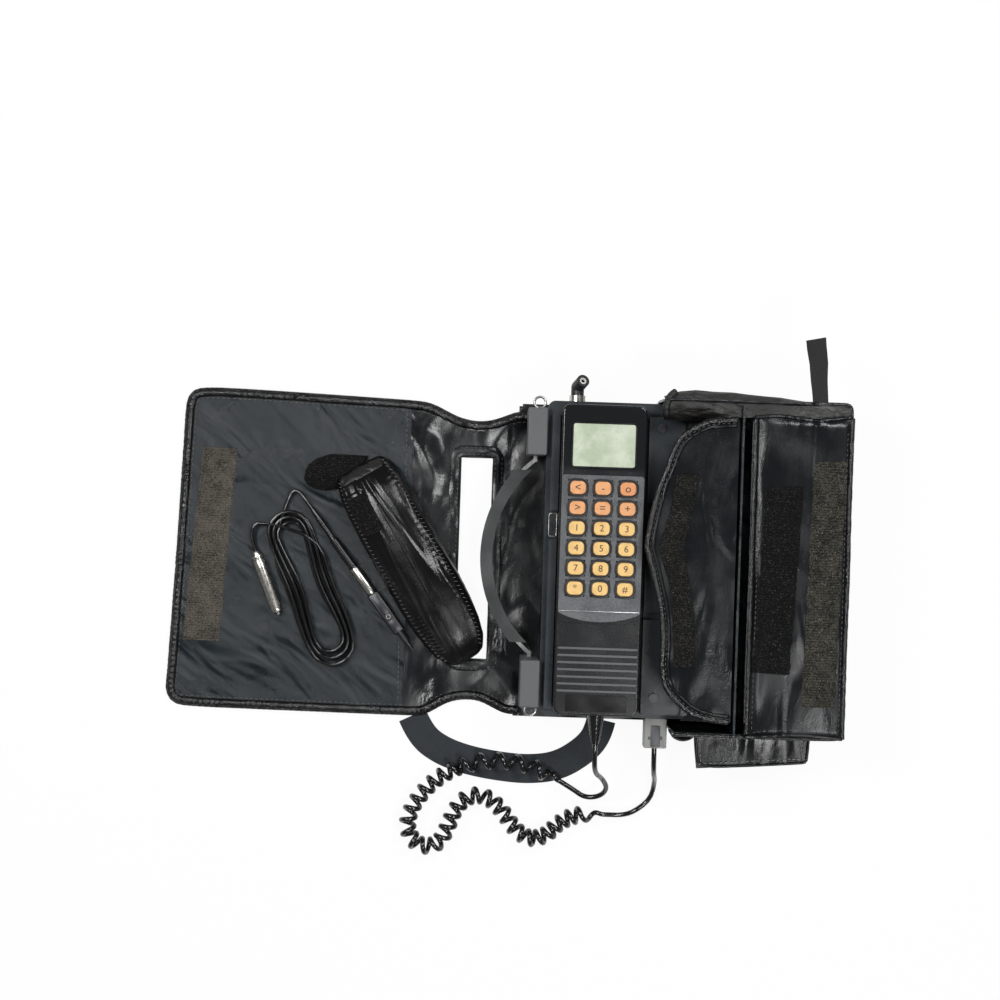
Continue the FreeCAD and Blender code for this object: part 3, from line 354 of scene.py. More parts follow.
def nurbs_points(points, cyclic=False, resolution=6):
    """The points of a smooth line drawn by control points, in the units given."""
    curve = bpy.data.curves.new("line", "CURVE")
    curve.dimensions = "3D"
    curve.resolution_u = resolution
    spline = curve.splines.new("NURBS")
    spline.points.add(len(points) - 1)
    for point, place in zip(spline.points, points):
        point.co = (*place, 1)
    spline.use_cyclic_u = cyclic
    spline.order_u = 3
    spline.use_endpoint_u = not cyclic
    item = bpy.data.objects.new("line", curve)
    bpy.context.collection.objects.link(item)
    mesh = bpy.data.meshes.new_from_object(item)
    found = [v.co.copy() for v in mesh.vertices]
    bpy.data.objects.remove(item)
    bpy.data.curves.remove(curve)
    bpy.data.meshes.remove(mesh)
    return found


class Track:
    """A line of points with its length measured, so a place can be asked for by distance."""

    def __init__(self, points, closed=False):
        self.points = list(points) + ([points[0]] if closed else [])
        self.marks = [0.0]
        for a, b in zip(self.points, self.points[1:]):
            self.marks.append(self.marks[-1] + (b - a).length)
        self.length = self.marks[-1]

    def at(self, distance):
        distance = min(max(distance, 0.0), self.length)
        low, high = 0, len(self.marks) - 2
        while low < high:
            half = (low + high + 1) // 2
            if self.marks[half] <= distance:
                low = half
            else:
                high = half - 1
        a, b = self.points[low], self.points[low + 1]
        span = max(self.marks[low + 1] - self.marks[low], 1e-9)
        return a.lerp(b, (distance - self.marks[low]) / span)

    def way(self, distance):
        return (self.at(distance + 0.2) - self.at(distance - 0.2)).normalized()


def ribbon_bm(track, section, step=1.6, tilt=0.0, closed=False):
    """A section of (across, up) points swept along a track that lies level or nearly so."""
    bm = bmesh.new()
    count = max(2, int(track.length / step))
    rings = []
    for k in range(count if closed else count + 1):
        distance = track.length * k / count
        here, way = track.at(distance), track.way(distance)
        if closed and k == 0:
            way = (track.at(0.2) - track.at(track.length - 0.2)).normalized()
        side = Vector((0, 0, 1)).cross(way).normalized()
        up = way.cross(side)
        if tilt:
            side, up = side * math.cos(tilt) + up * math.sin(tilt), up * math.cos(tilt) - side * math.sin(
                tilt,
            )
        rings.append([bm.verts.new(here + side * a + up * b) for a, b in section])
    pairs = list(zip(rings, rings[1:])) + ([(rings[-1], rings[0])] if closed else [])
    for low, high in pairs:
        for k in range(len(section)):
            n = (k + 1) % len(section)
            bm.faces.new((low[k], low[n], high[n], high[k]))
    if not closed:
        bm.faces.new(rings[0][::-1])
        bm.faces.new(rings[-1])
    return bm


def oval(across, up, count=12, lift=0.0):
    """Points round an oval section."""
    turn = [2 * math.pi * k / count for k in range(count)]
    return [(across * math.cos(a), up * math.sin(a) + lift) for a in turn]


def stitch_bm(track, pitch, length, wide=0.45, rise=0.35, start=1.0, angle=0.0, jitter=0.15, seed=1):
    """Thread stitches along a track: small rounded bars, half sunk."""
    rng = random.Random(seed)
    bm = bmesh.new()
    place = start
    while place < track.length - length:
        here, way = track.at(place + length / 2), track.way(place + length / 2)
        side = Vector((0, 0, 1)).cross(way).normalized()
        up = way.cross(side)
        turn = angle + rng.uniform(-jitter, jitter)
        ahead = way * math.cos(turn) + side * math.sin(turn)
        across = up.cross(ahead)
        frame_of = Matrix((ahead, across, up)).transposed().to_4x4()
        frame_of.translation = here
        made = bmesh.ops.create_cube(bm, size=1.0)["verts"]
        for vert in made:
            taper = 0.62 if vert.co.z > 0 else 1.0
            vert.co = Vector((vert.co.x * length * taper, vert.co.y * wide * taper, vert.co.z * rise))
        bmesh.ops.transform(bm, matrix=frame_of, verts=made)
        place += pitch * rng.uniform(0.94, 1.06)
    return bm


def join_bm(target, other):
    """Add one mesh to another."""
    mesh = bpy.data.meshes.new("part")
    other.to_mesh(mesh)
    other.free()
    target.from_mesh(mesh)
    bpy.data.meshes.remove(mesh)
    return target


print("modelling helpers ready")

# %% [markdown]
# The bag is black vinyl with a leather grain. Flat colour would look like painted card, so its roughness
# wanders between polished and dusty, a fine cell pattern makes the grain, and stretched noise makes the
# short creases. New vinyl would be more even; this one has been folded for years.

# %% Vinyl, nylon and fabric
def vinyl(name, colour, rough, crease=0.5, grain=0.05, dust=0.35, wave=3.5, wave_size=(26, 60, 26),
          turn=0.0, shine=0.55):
    finish = Finish(name, colour, rough, Specular_IOR_Level=shine)
    patches = finish.grain(34, detail=3)
    fine = finish.grain(1.6, detail=1)
    worn = (patches * 0.7 + fine * 0.3).ramp(0.52, 0.72)
    finish.feed("Base Color", finish.mix(worn * dust, colour, tuple(c * 1.5 + 0.014 for c in colour)))
    finish.feed("Roughness", patches.ramp(0.35, 0.68, rough - 0.08, rough + 0.14) + worn * 0.1)
    pebbles = finish.bump(finish.cells(0.9, "F1"), grain)
    small = tuple(s * 0.28 for s in wave_size)
    folds = finish.bump(
        finish.grain(1, detail=2, where=finish.place(small, turn), bend=0.8), crease, pebbles,
    )
    broad = finish.grain(1, detail=1, where=finish.place(wave_size, turn), bend=1.0)
    finish.feed("Normal", finish.bump(broad, wave, folds))
    return finish


def cloth(name, colour, rough, thread, depth, blotch=0.3, sheen=0.0, wave=0.6):
    """A woven fabric whose threads run along X and Y."""
    finish = Finish(name, colour, rough, Sheen_Weight=sheen, Specular_IOR_Level=0.36)
    where = finish.place((thread, thread, thread))
    across = (finish.axis(where, "X") * math.tau).math("SINE")
    along = (finish.axis(where, "Y") * math.tau).math("SINE")
    weave = (across * along) * 0.5 + 0.5
    patches = finish.grain(26, detail=3)
    light = tuple(c * 1.9 + 0.01 for c in colour)
    finish.feed("Base Color", finish.mix(patches.ramp(0.38, 0.72) * blotch + weave * 0.12, colour, light))
    finish.feed("Roughness", patches.ramp(0.3, 0.7, rough - 0.08, rough + 0.1))
    soft = finish.bump(
        finish.grain(1, detail=3, where=finish.place((9, 15, 9)), bend=1.0), 0.5,
        finish.bump(weave, depth),
    )
    broad = finish.grain(1, detail=2, where=finish.place((22, 62, 26), turn=0.9), bend=0.5)
    finish.feed("Normal", finish.bump(broad, wave, soft))
    return finish


def fuzz(name, dark, light, size=1.1, share=0.5, lint=(0.3, 0.28, 0.25)):
    """Worn hook or loop tape: rows of short hairs with rubbed tips and bits of lint."""
    finish = Finish(name, dark, 0.95, Specular_IOR_Level=0.15)
    hairs = finish.grain(1, detail=3, where=finish.place((size, size * 0.7, size)), rough=0.75, bend=1.0)
    rubbed = finish.grain(9, detail=3)
    rows = (finish.axis(finish.place((1.7, 1.7, 1.7)), "Y") * math.tau).math("SINE") * 0.5 + 0.5
    tips = (hairs + rows * 0.06 + rubbed * 0.5 * share).ramp(0.62 - share * 0.12, 0.86 - share * 0.1)
    specks = finish.grain(0.8, detail=1).ramp(0.66, 0.74)
    finish.feed("Base Color", finish.mix(specks * 0.7, finish.mix(tips, dark, light), lint))
    finish.feed("Normal", finish.bump(hairs, 0.9))
    return finish


glossy_vinyl = vinyl(
    "vinyl_spine", (0.0045, 0.0054, 0.0066), 0.25, crease=0.35, wave=7.5, wave_size=(40, 62, 40),
)
piping_vinyl = vinyl(
    "vinyl_piping", (0.005, 0.005, 0.0056), 0.24, crease=0.35, wave=0.6, wave_size=(5, 5, 5),
)
pocket_vinyl = vinyl(
    "vinyl_pocket", (0.0048, 0.0058, 0.0072), 0.25, crease=0.3, grain=0.06, wave=4.5,
    wave_size=(26, 85, 26), shine=0.36,
)
flap_vinyl = vinyl(
    "vinyl_pocket_flap", (0.0048, 0.0058, 0.0072), 0.25, crease=0.3, wave=4.5, wave_size=(28, 70, 28),
    shine=0.26,
)
pouch_vinyl = vinyl(
    "vinyl_pouch", (0.004, 0.004, 0.0046), 0.2, crease=0.12, dust=0.1, wave=2.5, wave_size=(95, 15, 24),
    turn=math.radians(-58.5), shine=0.34,
)
matt_vinyl = vinyl(
    "vinyl_gusset", (0.0085, 0.0078, 0.007), 0.48, crease=0.5, wave=2.5, wave_size=(20, 8, 20),
)
lining = cloth("lining_nylon", (0.0034, 0.0078, 0.0108), 0.33, 0.55, 0.05, blotch=0.25, wave=6.5)
webbing = cloth("webbing_blue_grey", (0.018, 0.022, 0.027), 0.75, 1.3, 0.28, sheen=0.2)
tab_webbing = cloth("webbing_tab", (0.012, 0.012, 0.013), 0.8, 1.2, 0.28, sheen=0.2)
hook_tape = fuzz("tape_hook_brown", (0.02, 0.0185, 0.016), (0.135, 0.12, 0.1), share=0.6)
loop_black = fuzz(
    "tape_loop_black", (0.004, 0.004, 0.0042), (0.035, 0.035, 0.033), share=0.2, lint=(0.12, 0.12, 0.11),
)
loop_olive = fuzz("tape_loop_olive", (0.008, 0.008, 0.007), (0.1, 0.096, 0.078), share=0.45)
loop_dark = fuzz(
    "tape_loop_flap", (0.005, 0.005, 0.005), (0.05, 0.048, 0.044), share=0.3, lint=(0.16, 0.15, 0.13),
)
thread = Finish("thread_grey", (0.1, 0.098, 0.095), 0.7)
thread.feed("Base Color", thread.mix(thread.grain(3), (0.05, 0.05, 0.05), (0.17, 0.165, 0.155)))
pale_thread = Finish("thread_pale", (0.4, 0.39, 0.37), 0.7)
pale_thread.feed(
    "Base Color", pale_thread.mix(pale_thread.grain(3), (0.2, 0.2, 0.19), (0.55, 0.54, 0.52)),
)
print("soft finishes", len(bpy.data.materials))

# %% [markdown]
# The phone's plastics differ mostly in gloss. The transceiver is spark-textured, the brackets are a paler
# grey and rubbed, the handset is polished at its head and satin below. Metal is plated or brushed.
# Nothing is quite clean: a little dust is mixed in at random.

# %% Plastic, rubber and metal
def plastic(name, colour, rough, texture=0.02, size=0.5, dust=0.25, **fixed):
    finish = Finish(name, colour, rough, **fixed)
    cloud = finish.grain(22, detail=4)
    specks = finish.grain(0.7, detail=2)
    film = (cloud * 0.6 + specks * 0.4).ramp(0.5, 0.72) * dust
    finish.feed("Base Color", finish.mix(film, colour, tuple(c + 0.026 for c in colour)))
    finish.feed("Roughness", cloud.ramp(0.3, 0.7, rough - 0.06, rough + 0.1) + film * 0.2)
    finish.feed("Normal", finish.bump(finish.cells(size), texture))
    return finish


def metal(name, colour, rough, stretch=(0.2, 6, 0.2)):
    finish = Finish(name, colour, rough, Metallic=1.0)
    lines = finish.grain(1, detail=3, where=finish.place(stretch))
    stains = finish.grain(5, detail=3)
    finish.feed(
        "Base Color", finish.mix(stains.ramp(0.5, 0.75) * 0.6, colour, tuple(c * 0.55 for c in colour)),
    )
    finish.feed("Roughness", lines.ramp(0.3, 0.7, rough - 0.06, rough + 0.12))
    finish.feed("Normal", finish.bump(lines, 0.004))
    return finish


case_plastic = plastic("plastic_case", (0.012, 0.0135, 0.016), 0.38, 0.05, 0.6)
deck_plastic = plastic("plastic_deck", (0.028, 0.034, 0.039), 0.28, 0.03, 0.6, dust=0.12)
bracket_plastic = plastic("plastic_bracket", (0.088, 0.092, 0.096), 0.45, 0.04, 0.6, dust=0.5)
grip_rubber = plastic("rubber_grip", (0.034, 0.037, 0.038), 0.32, 0.05, 0.8, dust=0.6)
cord_rubber = plastic(
    "rubber_cord", (0.0045, 0.0045, 0.005), 0.16, 0.01, 0.6, dust=0.1, Coat_Weight=0.6,
    Coat_Roughness=0.12,
)
plug_grey = plastic("plastic_plug_grey", (0.27, 0.275, 0.26), 0.22, 0.01, 0.8, dust=0.4, Coat_Weight=0.6)
pale_plastic = plastic("plastic_pale_ring", (0.55, 0.55, 0.52), 0.3)
board_green = plastic("board_green", (0.02, 0.08, 0.03), 0.4)
pack_black = plastic("pack_black", (0.015, 0.015, 0.017), 0.5)
badge_plastic = plastic("plastic_badge", (0.006, 0.006, 0.007), 0.2, 0.008, 0.8, dust=0.04)
key_well = plastic("plastic_key_well", (0.0045, 0.0045, 0.005), 0.35, 0.01, 0.8, dust=0.1)
nickel = metal("metal_nickel", (0.62, 0.6, 0.56), 0.22)
steel = metal("metal_steel", (0.5, 0.5, 0.5), 0.3)
dark_metal = metal("metal_dark_contact", (0.07, 0.07, 0.075), 0.35)


def handset_shell():
    """Polished at the head and satin below the display, with less dust on the head."""
    finish = Finish("plastic_handset", (0.0075, 0.0075, 0.0082), 0.2)
    where = finish.place((1, 1, 1))
    head = finish.axis(where, "Y").ramp(60.0, 64.0)
    cloud = finish.grain(20, detail=4)
    dust = (cloud * 0.5 + finish.grain(0.8, detail=1) * 0.5).ramp(0.5, 0.68) * (1 - head * 0.7)
    finish.feed("Base Color", finish.mix(dust * 0.5, (0.0075, 0.0082, 0.0095), (0.022, 0.022, 0.022)))
    finish.feed("Roughness", head * -0.14 + 0.27 + dust * 0.12)
    finish.feed("Normal", finish.bump(finish.cells(0.5), 0.012))
    return finish


def keypad_paint():
    """Grey metallic paint with fine flakes and worn patches here and there."""
    finish = Finish("paint_keypad_grey", (0.06, 0.064, 0.068), 0.35, Metallic=0.55)
    flakes = finish.grain(0.45, detail=1)
    wear = finish.grain(14, detail=4)
    tone = finish.mix(flakes.ramp(0.35, 0.7), (0.085, 0.09, 0.096), (0.19, 0.196, 0.205))
    finish.feed("Base Color", finish.mix(wear.ramp(0.55, 0.75) * 0.5, tone, (0.12, 0.125, 0.125)))
    finish.feed("Roughness", wear.ramp(0.3, 0.7, 0.28, 0.46))
    return finish


def lens_glass():
    """An unlit liquid-crystal display: pale grey-green and cloudy."""
    finish = Finish("display_pale", (0.42, 0.46, 0.36), 0.12, Coat_Weight=0.8, Coat_Roughness=0.05)
    cloud = finish.grain(11, detail=3)
    fine = finish.grain(2.5, detail=2)
    tone = finish.mix(cloud.ramp(0.36, 0.66), (0.45, 0.51, 0.38), (0.6, 0.66, 0.53))
    finish.feed("Base Color", finish.mix(fine.ramp(0.55, 0.75) * 0.35, tone, (0.33, 0.41, 0.40)))
    return finish


def key_plastic(name, middle, edge):
    """Key plastic with painted light: a painted highlight on the crown and painted shade deeper towards the rim, set
    by height.
    """
    finish = Finish(name, middle, 0.38, Coat_Weight=0.25)
    cloud = finish.grain(4, detail=2)
    # crown is a height mask for painted light: the key's top takes the lighter colour as a painted highlight, its rim
    # the deeper one as painted shade.
    crown = finish.axis(finish.place((1, 1, 1)), "Z").ramp(64.4, 65.6)
    tone = finish.mix(crown, edge, middle)
    finish.feed("Base Color", finish.mix(cloud.ramp(0.45, 0.7) * 0.25, tone, edge))
    return finish


handset_plastic = handset_shell()
keypad_metal = keypad_paint()
lens = lens_glass()
# For each key the first colour, on the crown, is lightened as a painted highlight, and the second, at the rim, is
# deepened as painted shade.
key_cream = key_plastic("key_cream", (0.80, 0.53, 0.20), (0.50, 0.24, 0.05))
key_orange = key_plastic("key_orange", (0.74, 0.36, 0.16), (0.48, 0.14, 0.035))
key_red = key_plastic("key_deep_orange", (0.70, 0.30, 0.13), (0.48, 0.11, 0.03))

node_finish = {
    "case_bottom": case_plastic, "case_top": deck_plastic, "handle_brackets": bracket_plastic,
    "radio_board": board_green, "battery_pack": pack_black, "antenna_socket": nickel,
    "case_screws": dark_metal, "d_rings": steel, "antenna_elbow": case_plastic, "handle_core": steel,
    "handset_back": handset_plastic, "handset_front": handset_plastic, "display_lens": lens,
    "keypad_plate": keypad_metal, "handset_board": board_green, "badge_plate": badge_plastic,
    "cord_plug": plug_grey, "key_a3": key_red, "handle_grip": grip_rubber, "cord_boot": cord_rubber,
}
for name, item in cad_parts.items():
    if name.startswith("key_"):
        node_finish.setdefault(name, key_orange if name[4] in "ab" else key_cream)
    if name in node_finish:
        item.data.materials.clear()
        item.data.materials.append(node_finish[name].material)
print("plain nodes finished", len(node_finish))

# %% [markdown]
# The handset's cord is one curly cord: plain where it leaves the boot, curled along the table, plain again
# up to its plug. Its middle line is a smooth curve through given points. The curls are more points
# of the cord's own line, wound round that middle line: loose at one end, close along the slack, and drawn
# out at the other end.

# %% The curly cord's middle line
COIL_Z = 7.8
coil_route = [
    (-71, -148), (-79, -143.4), (-88, -139.8), (-99, -136.6), (-112, -135.4), (-125, -136.4),
    (-137, -139.5), (-148, -145), (-158, -152.5), (-166, -162), (-172, -173), (-173, -185),
    (-165, -195), (-152, -194), (-146, -183), (-142, -171), (-135, -161.5), (-125, -158.5),
    (-115, -163), (-107, -172), (-100, -182), (-90, -188), (-79, -185), (-72, -177), (-62, -171),
    (-50, -169.5), (-40, -169.5),
]
middle_line = Track(nurbs_points([(x, y, COIL_Z) for x, y in coil_route], resolution=10))
print("middle line", round(middle_line.length, 1), "mm")

# %% Curls
CURL_RADIUS = 4.65
POINTS_PER_CURL = 12


def curl_pitch(share):
    return 12.5 if share < 0.22 else 7.9 if share < 0.8 else 6.6 if share < 0.95 else 16.0


def curl_points(line):
    """Points round the middle line, swelling from it at both ends."""
    marks = [0.0]
    while marks[-1] < line.length:
        marks.append(marks[-1] + curl_pitch(marks[-1] / line.length) / 4)
    scale = line.length / marks[-1]
    turns = (len(marks) - 1) / 4
    found = []
    for k in range(int(turns * POINTS_PER_CURL) + 1):
        quarter = min(k * 4 / POINTS_PER_CURL, len(marks) - 1.001)
        low = int(quarter)
        distance = (marks[low] + (marks[low + 1] - marks[low]) * (quarter - low)) * scale
        here, way = line.at(distance), line.way(distance)
        side = Vector((0, 0, 1)).cross(way).normalized()
        swell = soft_step(min(quarter, len(marks) - 1 - quarter) / 4)
        angle = math.pi / 2 * quarter
        loose = 1 + 0.05 * rumple(distance, 0, 17)
        ring = side * math.cos(angle) + Vector((0, 0, 1)) * math.sin(angle)
        found.append(here + ring * CURL_RADIUS * swell * loose)
    return found


def cord_curve(name, points, diameter, finish, resolution=3):
    """A round cord as one smooth curve object, in metres."""
    curve = bpy.data.curves.new(name, "CURVE")
    curve.dimensions = "3D"
    curve.resolution_u = resolution
    curve.bevel_depth = diameter / 2 * MM
    curve.bevel_resolution = 2
    curve.use_fill_caps = True
    spline = curve.splines.new("NURBS")
    spline.points.add(len(points) - 1)
    for point, place in zip(spline.points, points):
        point.co = (*(Vector(place) * MM), 1)
    spline.order_u = 3
    spline.use_endpoint_u = True
    item = bpy.data.objects.new(name, curve)
    curve.materials.append(finish.material)
    bpy.context.collection.objects.link(item)
    return item


def line_length(points, resolution=6):
    return Track(nurbs_points(points, resolution=resolution)).length


curls = curl_points(middle_line)
start_way = (Vector(coil_route[1]) - Vector(coil_route[0])).normalized()
cord_start = Vector((coil_route[0][0] - start_way.x * 3.4, coil_route[0][1] - start_way.y * 3.4, COIL_Z))
plug_end = Vector((-11, -119, 35.5))
tail_route = [
    Vector((-36.6, -169.5, COIL_Z)), Vector((-28.6, -169.5, COIL_Z)), Vector((-20, -168, 3.3)),
    Vector((-8.5, -159, 1.8)), plug_end + Vector((4, -26, -27)), plug_end + Vector((1.2, -20, -8.5)),
    plug_end + Vector((0, -9.5, 0)), plug_end,
]
coil_points = [cord_start] + curls + tail_route
coil_length = line_length(coil_points, 3)
handset_cord = ride(cord_curve("handset_curly_cord", coil_points, 3.4, cord_rubber), "bag")
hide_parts("handset_coil", "cord_tail")
print("curls", round(len(curls) / POINTS_PER_CURL, 1), "cord length", round(coil_length), "mm")

# %% The plain drop from the handset's boot
boot_tip = Vector((-51, -115, 52))
drop_route = [
    boot_tip, boot_tip + Vector((0, -10, 0)), boot_tip + Vector((1.2, -21, -9.5)),
    boot_tip + Vector((7.2, -26.9, -26.5)), Vector((-39.3, -150.3, 17)), Vector((-44.1, -157, 10.7)),
    Vector((-54, -158.4, 8.2)), Vector((-61.4, -153.5, COIL_Z)), cord_start,
]
drop_line = Track(nurbs_points(drop_route, resolution=10))
drop = add_piece(
    "handset_cord_drop", ribbon_bm(drop_line, oval(1.7, 1.7), step=1.0), cord_rubber, "cord_rubber",
    ["cord_drop"], smooth=180,
)
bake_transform(drop)
[tuple(p * MM) for p in drop_line.points]
print("drop", round(drop_line.length), "mm")

# %% [markdown]
# The car lead lies in a loose hank. Its loops are drawn in at the waist and fan out at the ends, where
# nothing ties them. One spline carries the whole lead: out of the power plug's boot, round six loops
# that spiral in on one layer and out on the next, and into the barrel plug.

# %% Where the accessories lie
FLOOR_UP = 3.3


def lay_out(x, y, turn, rise=0.0):
    return Matrix.Translation((x, y, FLOOR_UP + rise)) @ Matrix.Rotation(math.radians(turn), 4, "Z")


hank_place = lay_out(-244, -22, -67.6)
power_place = lay_out(-243.5, 29, -52.5, 4.4)
barrel_place = lay_out(-281, 0, -68, 4.4)
LEAD = 2.4
HANK_TURNS = 6


def hank_point(phase):
    """Six loops with four phases to a turn; the outer ones reach further than the inner ones."""
    turn = phase / 4
    inward = min(turn, HANK_TURNS - turn)
    layer = soft_step((turn - HANK_TURNS / 2 + 0.25) / 0.5)
    angle = math.pi * (1 + phase / 2)
    step = LEAD + 1.25
    far = max(0.0, math.cos(angle))
    length = 58 + 2.5 * far - (step + 1.2 * far) * inward
    width = 21 - step * 1.15 * inward
    x = length * math.cos(angle)
    y = width * math.sin(angle) + 5 * math.sin(3 * angle)
    return hank_place @ Vector((x, y, LEAD / 2 + layer * (LEAD + 0.7)))


# %% The lead
power_way = (power_place.to_3x3() @ Vector((1, 0, 0))).normalized()
barrel_way = (barrel_place.to_3x3() @ Vector((1, 0, 0))).normalized()
power_end = power_place.translation.copy()
barrel_end = barrel_place.translation.copy()
lead_route = [
    power_end, power_end - power_way * 8, Vector((-252.5, 41.5, 7.0)), Vector((-259.5, 42.5, 5.8)),
]
lead_route += [hank_point(k / 3) for k in range(2, HANK_TURNS * 12 - 1)]
lead_route += [
    Vector((-281.5, 21.5, 8.0)), Vector((-284.2, 13.5, 7.4)), barrel_end - barrel_way * 6, barrel_end,
]
lead_line = Track(nurbs_points(lead_route, resolution=3))
lead = ride(cord_curve("power_lead_hank", lead_route, LEAD, cord_rubber), "lead")
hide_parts("lead_hank")
print("lead", round(lead_line.length), "mm")

# %% [markdown]
# Plugs are turned parts, so each is one profile spun about its axis: a ribbed boot, a knurled grip, a
# plated barrel. Stacked cylinders would do for the outline but leave hard steps, which a spin rounds.

# %% Turned plugs
def spun(profile, place, steps=28):
    """A profile of (along, radius) spun about X, and put in its place."""
    bm = bmesh.new()
    line = [bm.verts.new((x, 0, max(r, 0.0))) for x, r in profile]
    edges = [bm.edges.new(pair) for pair in zip(line, line[1:])]
    bmesh.ops.spin(
        bm, geom=line + edges, cent=(0, 0, 0), axis=(1, 0, 0), angle=math.tau, steps=steps,
        use_merge=True,
    )
    bmesh.ops.remove_doubles(bm, verts=bm.verts, dist=0.001)
    bmesh.ops.transform(bm, matrix=place, verts=bm.verts)
    return bm


def ribs(start, length, count, high, low):
    """A row of rounded ribs on a profile."""
    found = []
    pitch = length / count
    for k in range(count):
        x = start + k * pitch
        found += [(x, low), (x + pitch * 0.15, high * 0.97), (x + pitch * 0.3, high),
                  (x + pitch * 0.55, high), (x + pitch * 0.7, high * 0.97), (x + pitch * 0.82, low)]
    return found


boot_profile = [(0, 0), (0, 1.6), (6, 1.9)] + ribs(7, 16, 7, 2.55, 1.95) + [(24, 2.2), (24, 3.1)]
boot_profile += ribs(24.5, 23, 10, 3.35, 2.9) + [(48, 2.9), (48, 0)]
lead_boot = put("lead", "power_plug_grip", spun(boot_profile, power_place), cord_rubber, "cord_rubber")
barrel_profile = [(48, 0), (48, 3.1), (49, 3.5), (66.5, 3.5), (68, 3.1), (69, 2.9), (69, 0)]
lead_barrel = put("lead", "power_plug_barrel", spun(barrel_profile, power_place), nickel, "nickel")
core_profile = [
    (69, 0), (69, 2.8), (101, 2.8), (102, 2.4), (108, 2.4), (110, 1.6), (116, 0.9), (116.6, 0),
]
lead_core = put("lead", "power_plug_nose", spun(core_profile, power_place), case_plastic, "case_plastic")
blade = bmesh.new()
bmesh.ops.create_cube(blade, size=1, matrix=Matrix.Diagonal((32, 8, 6.6, 1)))
bmesh.ops.bevel(blade, geom=blade.edges, offset=1.2, segments=3, profile=0.5, affect="EDGES", material=-1)
bmesh.ops.transform(blade, matrix=power_place @ Matrix.Translation((85, 0, -0.2)), verts=blade.verts)
for where, size in (((79, 0, 3.1), (14, 4.2, 0.5)), ((95, 0, 3.1), (8, 5, 0.5))):
    pad = bmesh.new()
    bmesh.ops.create_cube(pad, size=1, matrix=Matrix.Diagonal((*size, 1)))
    bmesh.ops.bevel(pad, geom=pad.edges, offset=0.2, segments=2, profile=0.5, affect="EDGES", material=-1)
    bmesh.ops.transform(pad, matrix=power_place @ Matrix.Translation(where), verts=pad.verts)
    join_bm(blade, pad)
lead_blade = put("lead", "power_plug_contact", blade, dark_metal, "steel", smooth=30)
eyelet_profile = [(0, 1.0), (0, 1.7), (0.5, 1.7), (0.5, 1.0), (0, 1.0)]
upright = power_place @ Matrix.Translation((88, 0, 3.0)) @ Matrix.Rotation(-math.pi / 2, 4, "Y")
put("lead", "power_plug_rivet", spun(eyelet_profile, upright, 20), nickel, "nickel")
for piece in (lead_boot, lead_barrel, lead_core, lead_blade):
    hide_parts("lighter_plug")

jack_profile = [(0, 0), (0, 1.8), (1, 2.3), (3, 2.5), (3.1, 4.2), (3.6, 4.35), (4.4, 4.35), (4.8, 4.1),
                (4.9, 3.5), (6.1, 3.5), (6.2, 4.1), (6.6, 4.3), (12, 4.3), (12.2, 4.1), (12.8, 4.1),
                (13, 4.3), (41, 4.3), (42, 4.1), (42.2, 3.4), (43.2, 3.4), (43.3, 1.25), (45.3, 1.2),
                (45.6, 0)]
jack = put(
    "lead", "barrel_plug_shell", spun(jack_profile, barrel_place), nickel, "nickel", ["barrel_plug"],
)
tuple(power_end * MM)
print("plugs", 6)

# %% [markdown]
# The main flap is a vinyl spine beside the phone and a nylon-lined cover beyond the seam. Each is a grid
# laid out between its upper and lower edge, then thickened. Cloth simulation was not used here: the flap
# lies flat on the table, and its soft waves are easier to place by noise than to drop.

# %% The flap's outline
FOLD_X = -184.0
upper_edge = [(-331, 106), (-296, 106), (-184, 102), (-171, 101.2), (-165, 99.6), (-158.8, 96.6),
              (-152, 93.2), (-146.8, 91.2), (-139, 89.4), (-131.8, 89), (-125, 89.8), (-118.8, 91.6),
              (-112, 94.4), (-106.8, 96.4), (-95, 97)]
lower_edge = [(-336, -102), (-301, -103), (-184, -104), (-172, -104), (-165, -103.2), (-159, -100),
              (-152, -95.6), (-145, -93), (-138, -92), (-131, -92), (-125, -93.2), (-118, -96.4),
              (-112, -99.4), (-106.8, -101), (-95, -101)]
CORNER = 9.0


def flap_left(v):
    """The cover's far edge leans a little."""
    return between(-336.2, -328.4, v)


def flap_place(x, v, inset=0.0):
    """A point of the flap from its x and its share of the way from the lower to the upper edge."""
    high = stops(upper_edge, x) - inset
    low = stops(lower_edge, x) + inset
    reach = x - flap_left(v) - inset
    if reach < CORNER:
        drop = CORNER - math.sqrt(max(0.0, CORNER**2 - (CORNER - reach) ** 2))
        high, low = high - drop, low + drop
    return between(low, high, v)


def flap_wave(x, y):
    """How far the flap's top lies under its full height, in millimetres."""
    soft = 0.9 * rumple(x, y, 38, 1) + 0.5 * rumple(x, y, 15, 2)
    pulled = 0.6 * creases(x + y * 0.4, y * 0.25, 13, 3) * soft_step(1 - abs(x + 184) / 34)
    return soft + pulled


def cover_at(u, v):
    x = stops([(0, flap_left(v) + 0.6), (1, FOLD_X + 7)], u)
    y = flap_place(max(x, flap_left(v) + 0.61), v, 0.8)
    return x, y, 3.1 + 0.9 * flap_wave(x, y)


# %% Cover and spine
HINGE_FOLD = {"start": (-0.1035, 0, 0), "end": (-0.1100, 0, 0)}
SEAM_FOLD = {"start": (-0.1795, 0, 0), "end": (-0.1885, 0, 0)}
PIECES_MEET = -178
FLAP_THREAD_IN = 3.3
cover = add_piece("cover_lining", sheet_bm(96, 124, cover_at, 1.2), lining, "lining", ["cover_panel"])
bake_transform(cover)


def cover_back_at(u, v):
    x, y, z = cover_at(u, v)
    return x, y, 1.6 + 0.25 * (z - 3.1)


cover_back = add_piece(
    "cover_outer_vinyl", sheet_bm(60, 80, cover_back_at, 1.2), pocket_vinyl, "vinyl", ["cover_panel"],
)
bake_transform(cover_back)
spine_columns = [(0, FOLD_X + 5), (0.45, -144.3), (0.75, -123.1), (1, -101.5)]


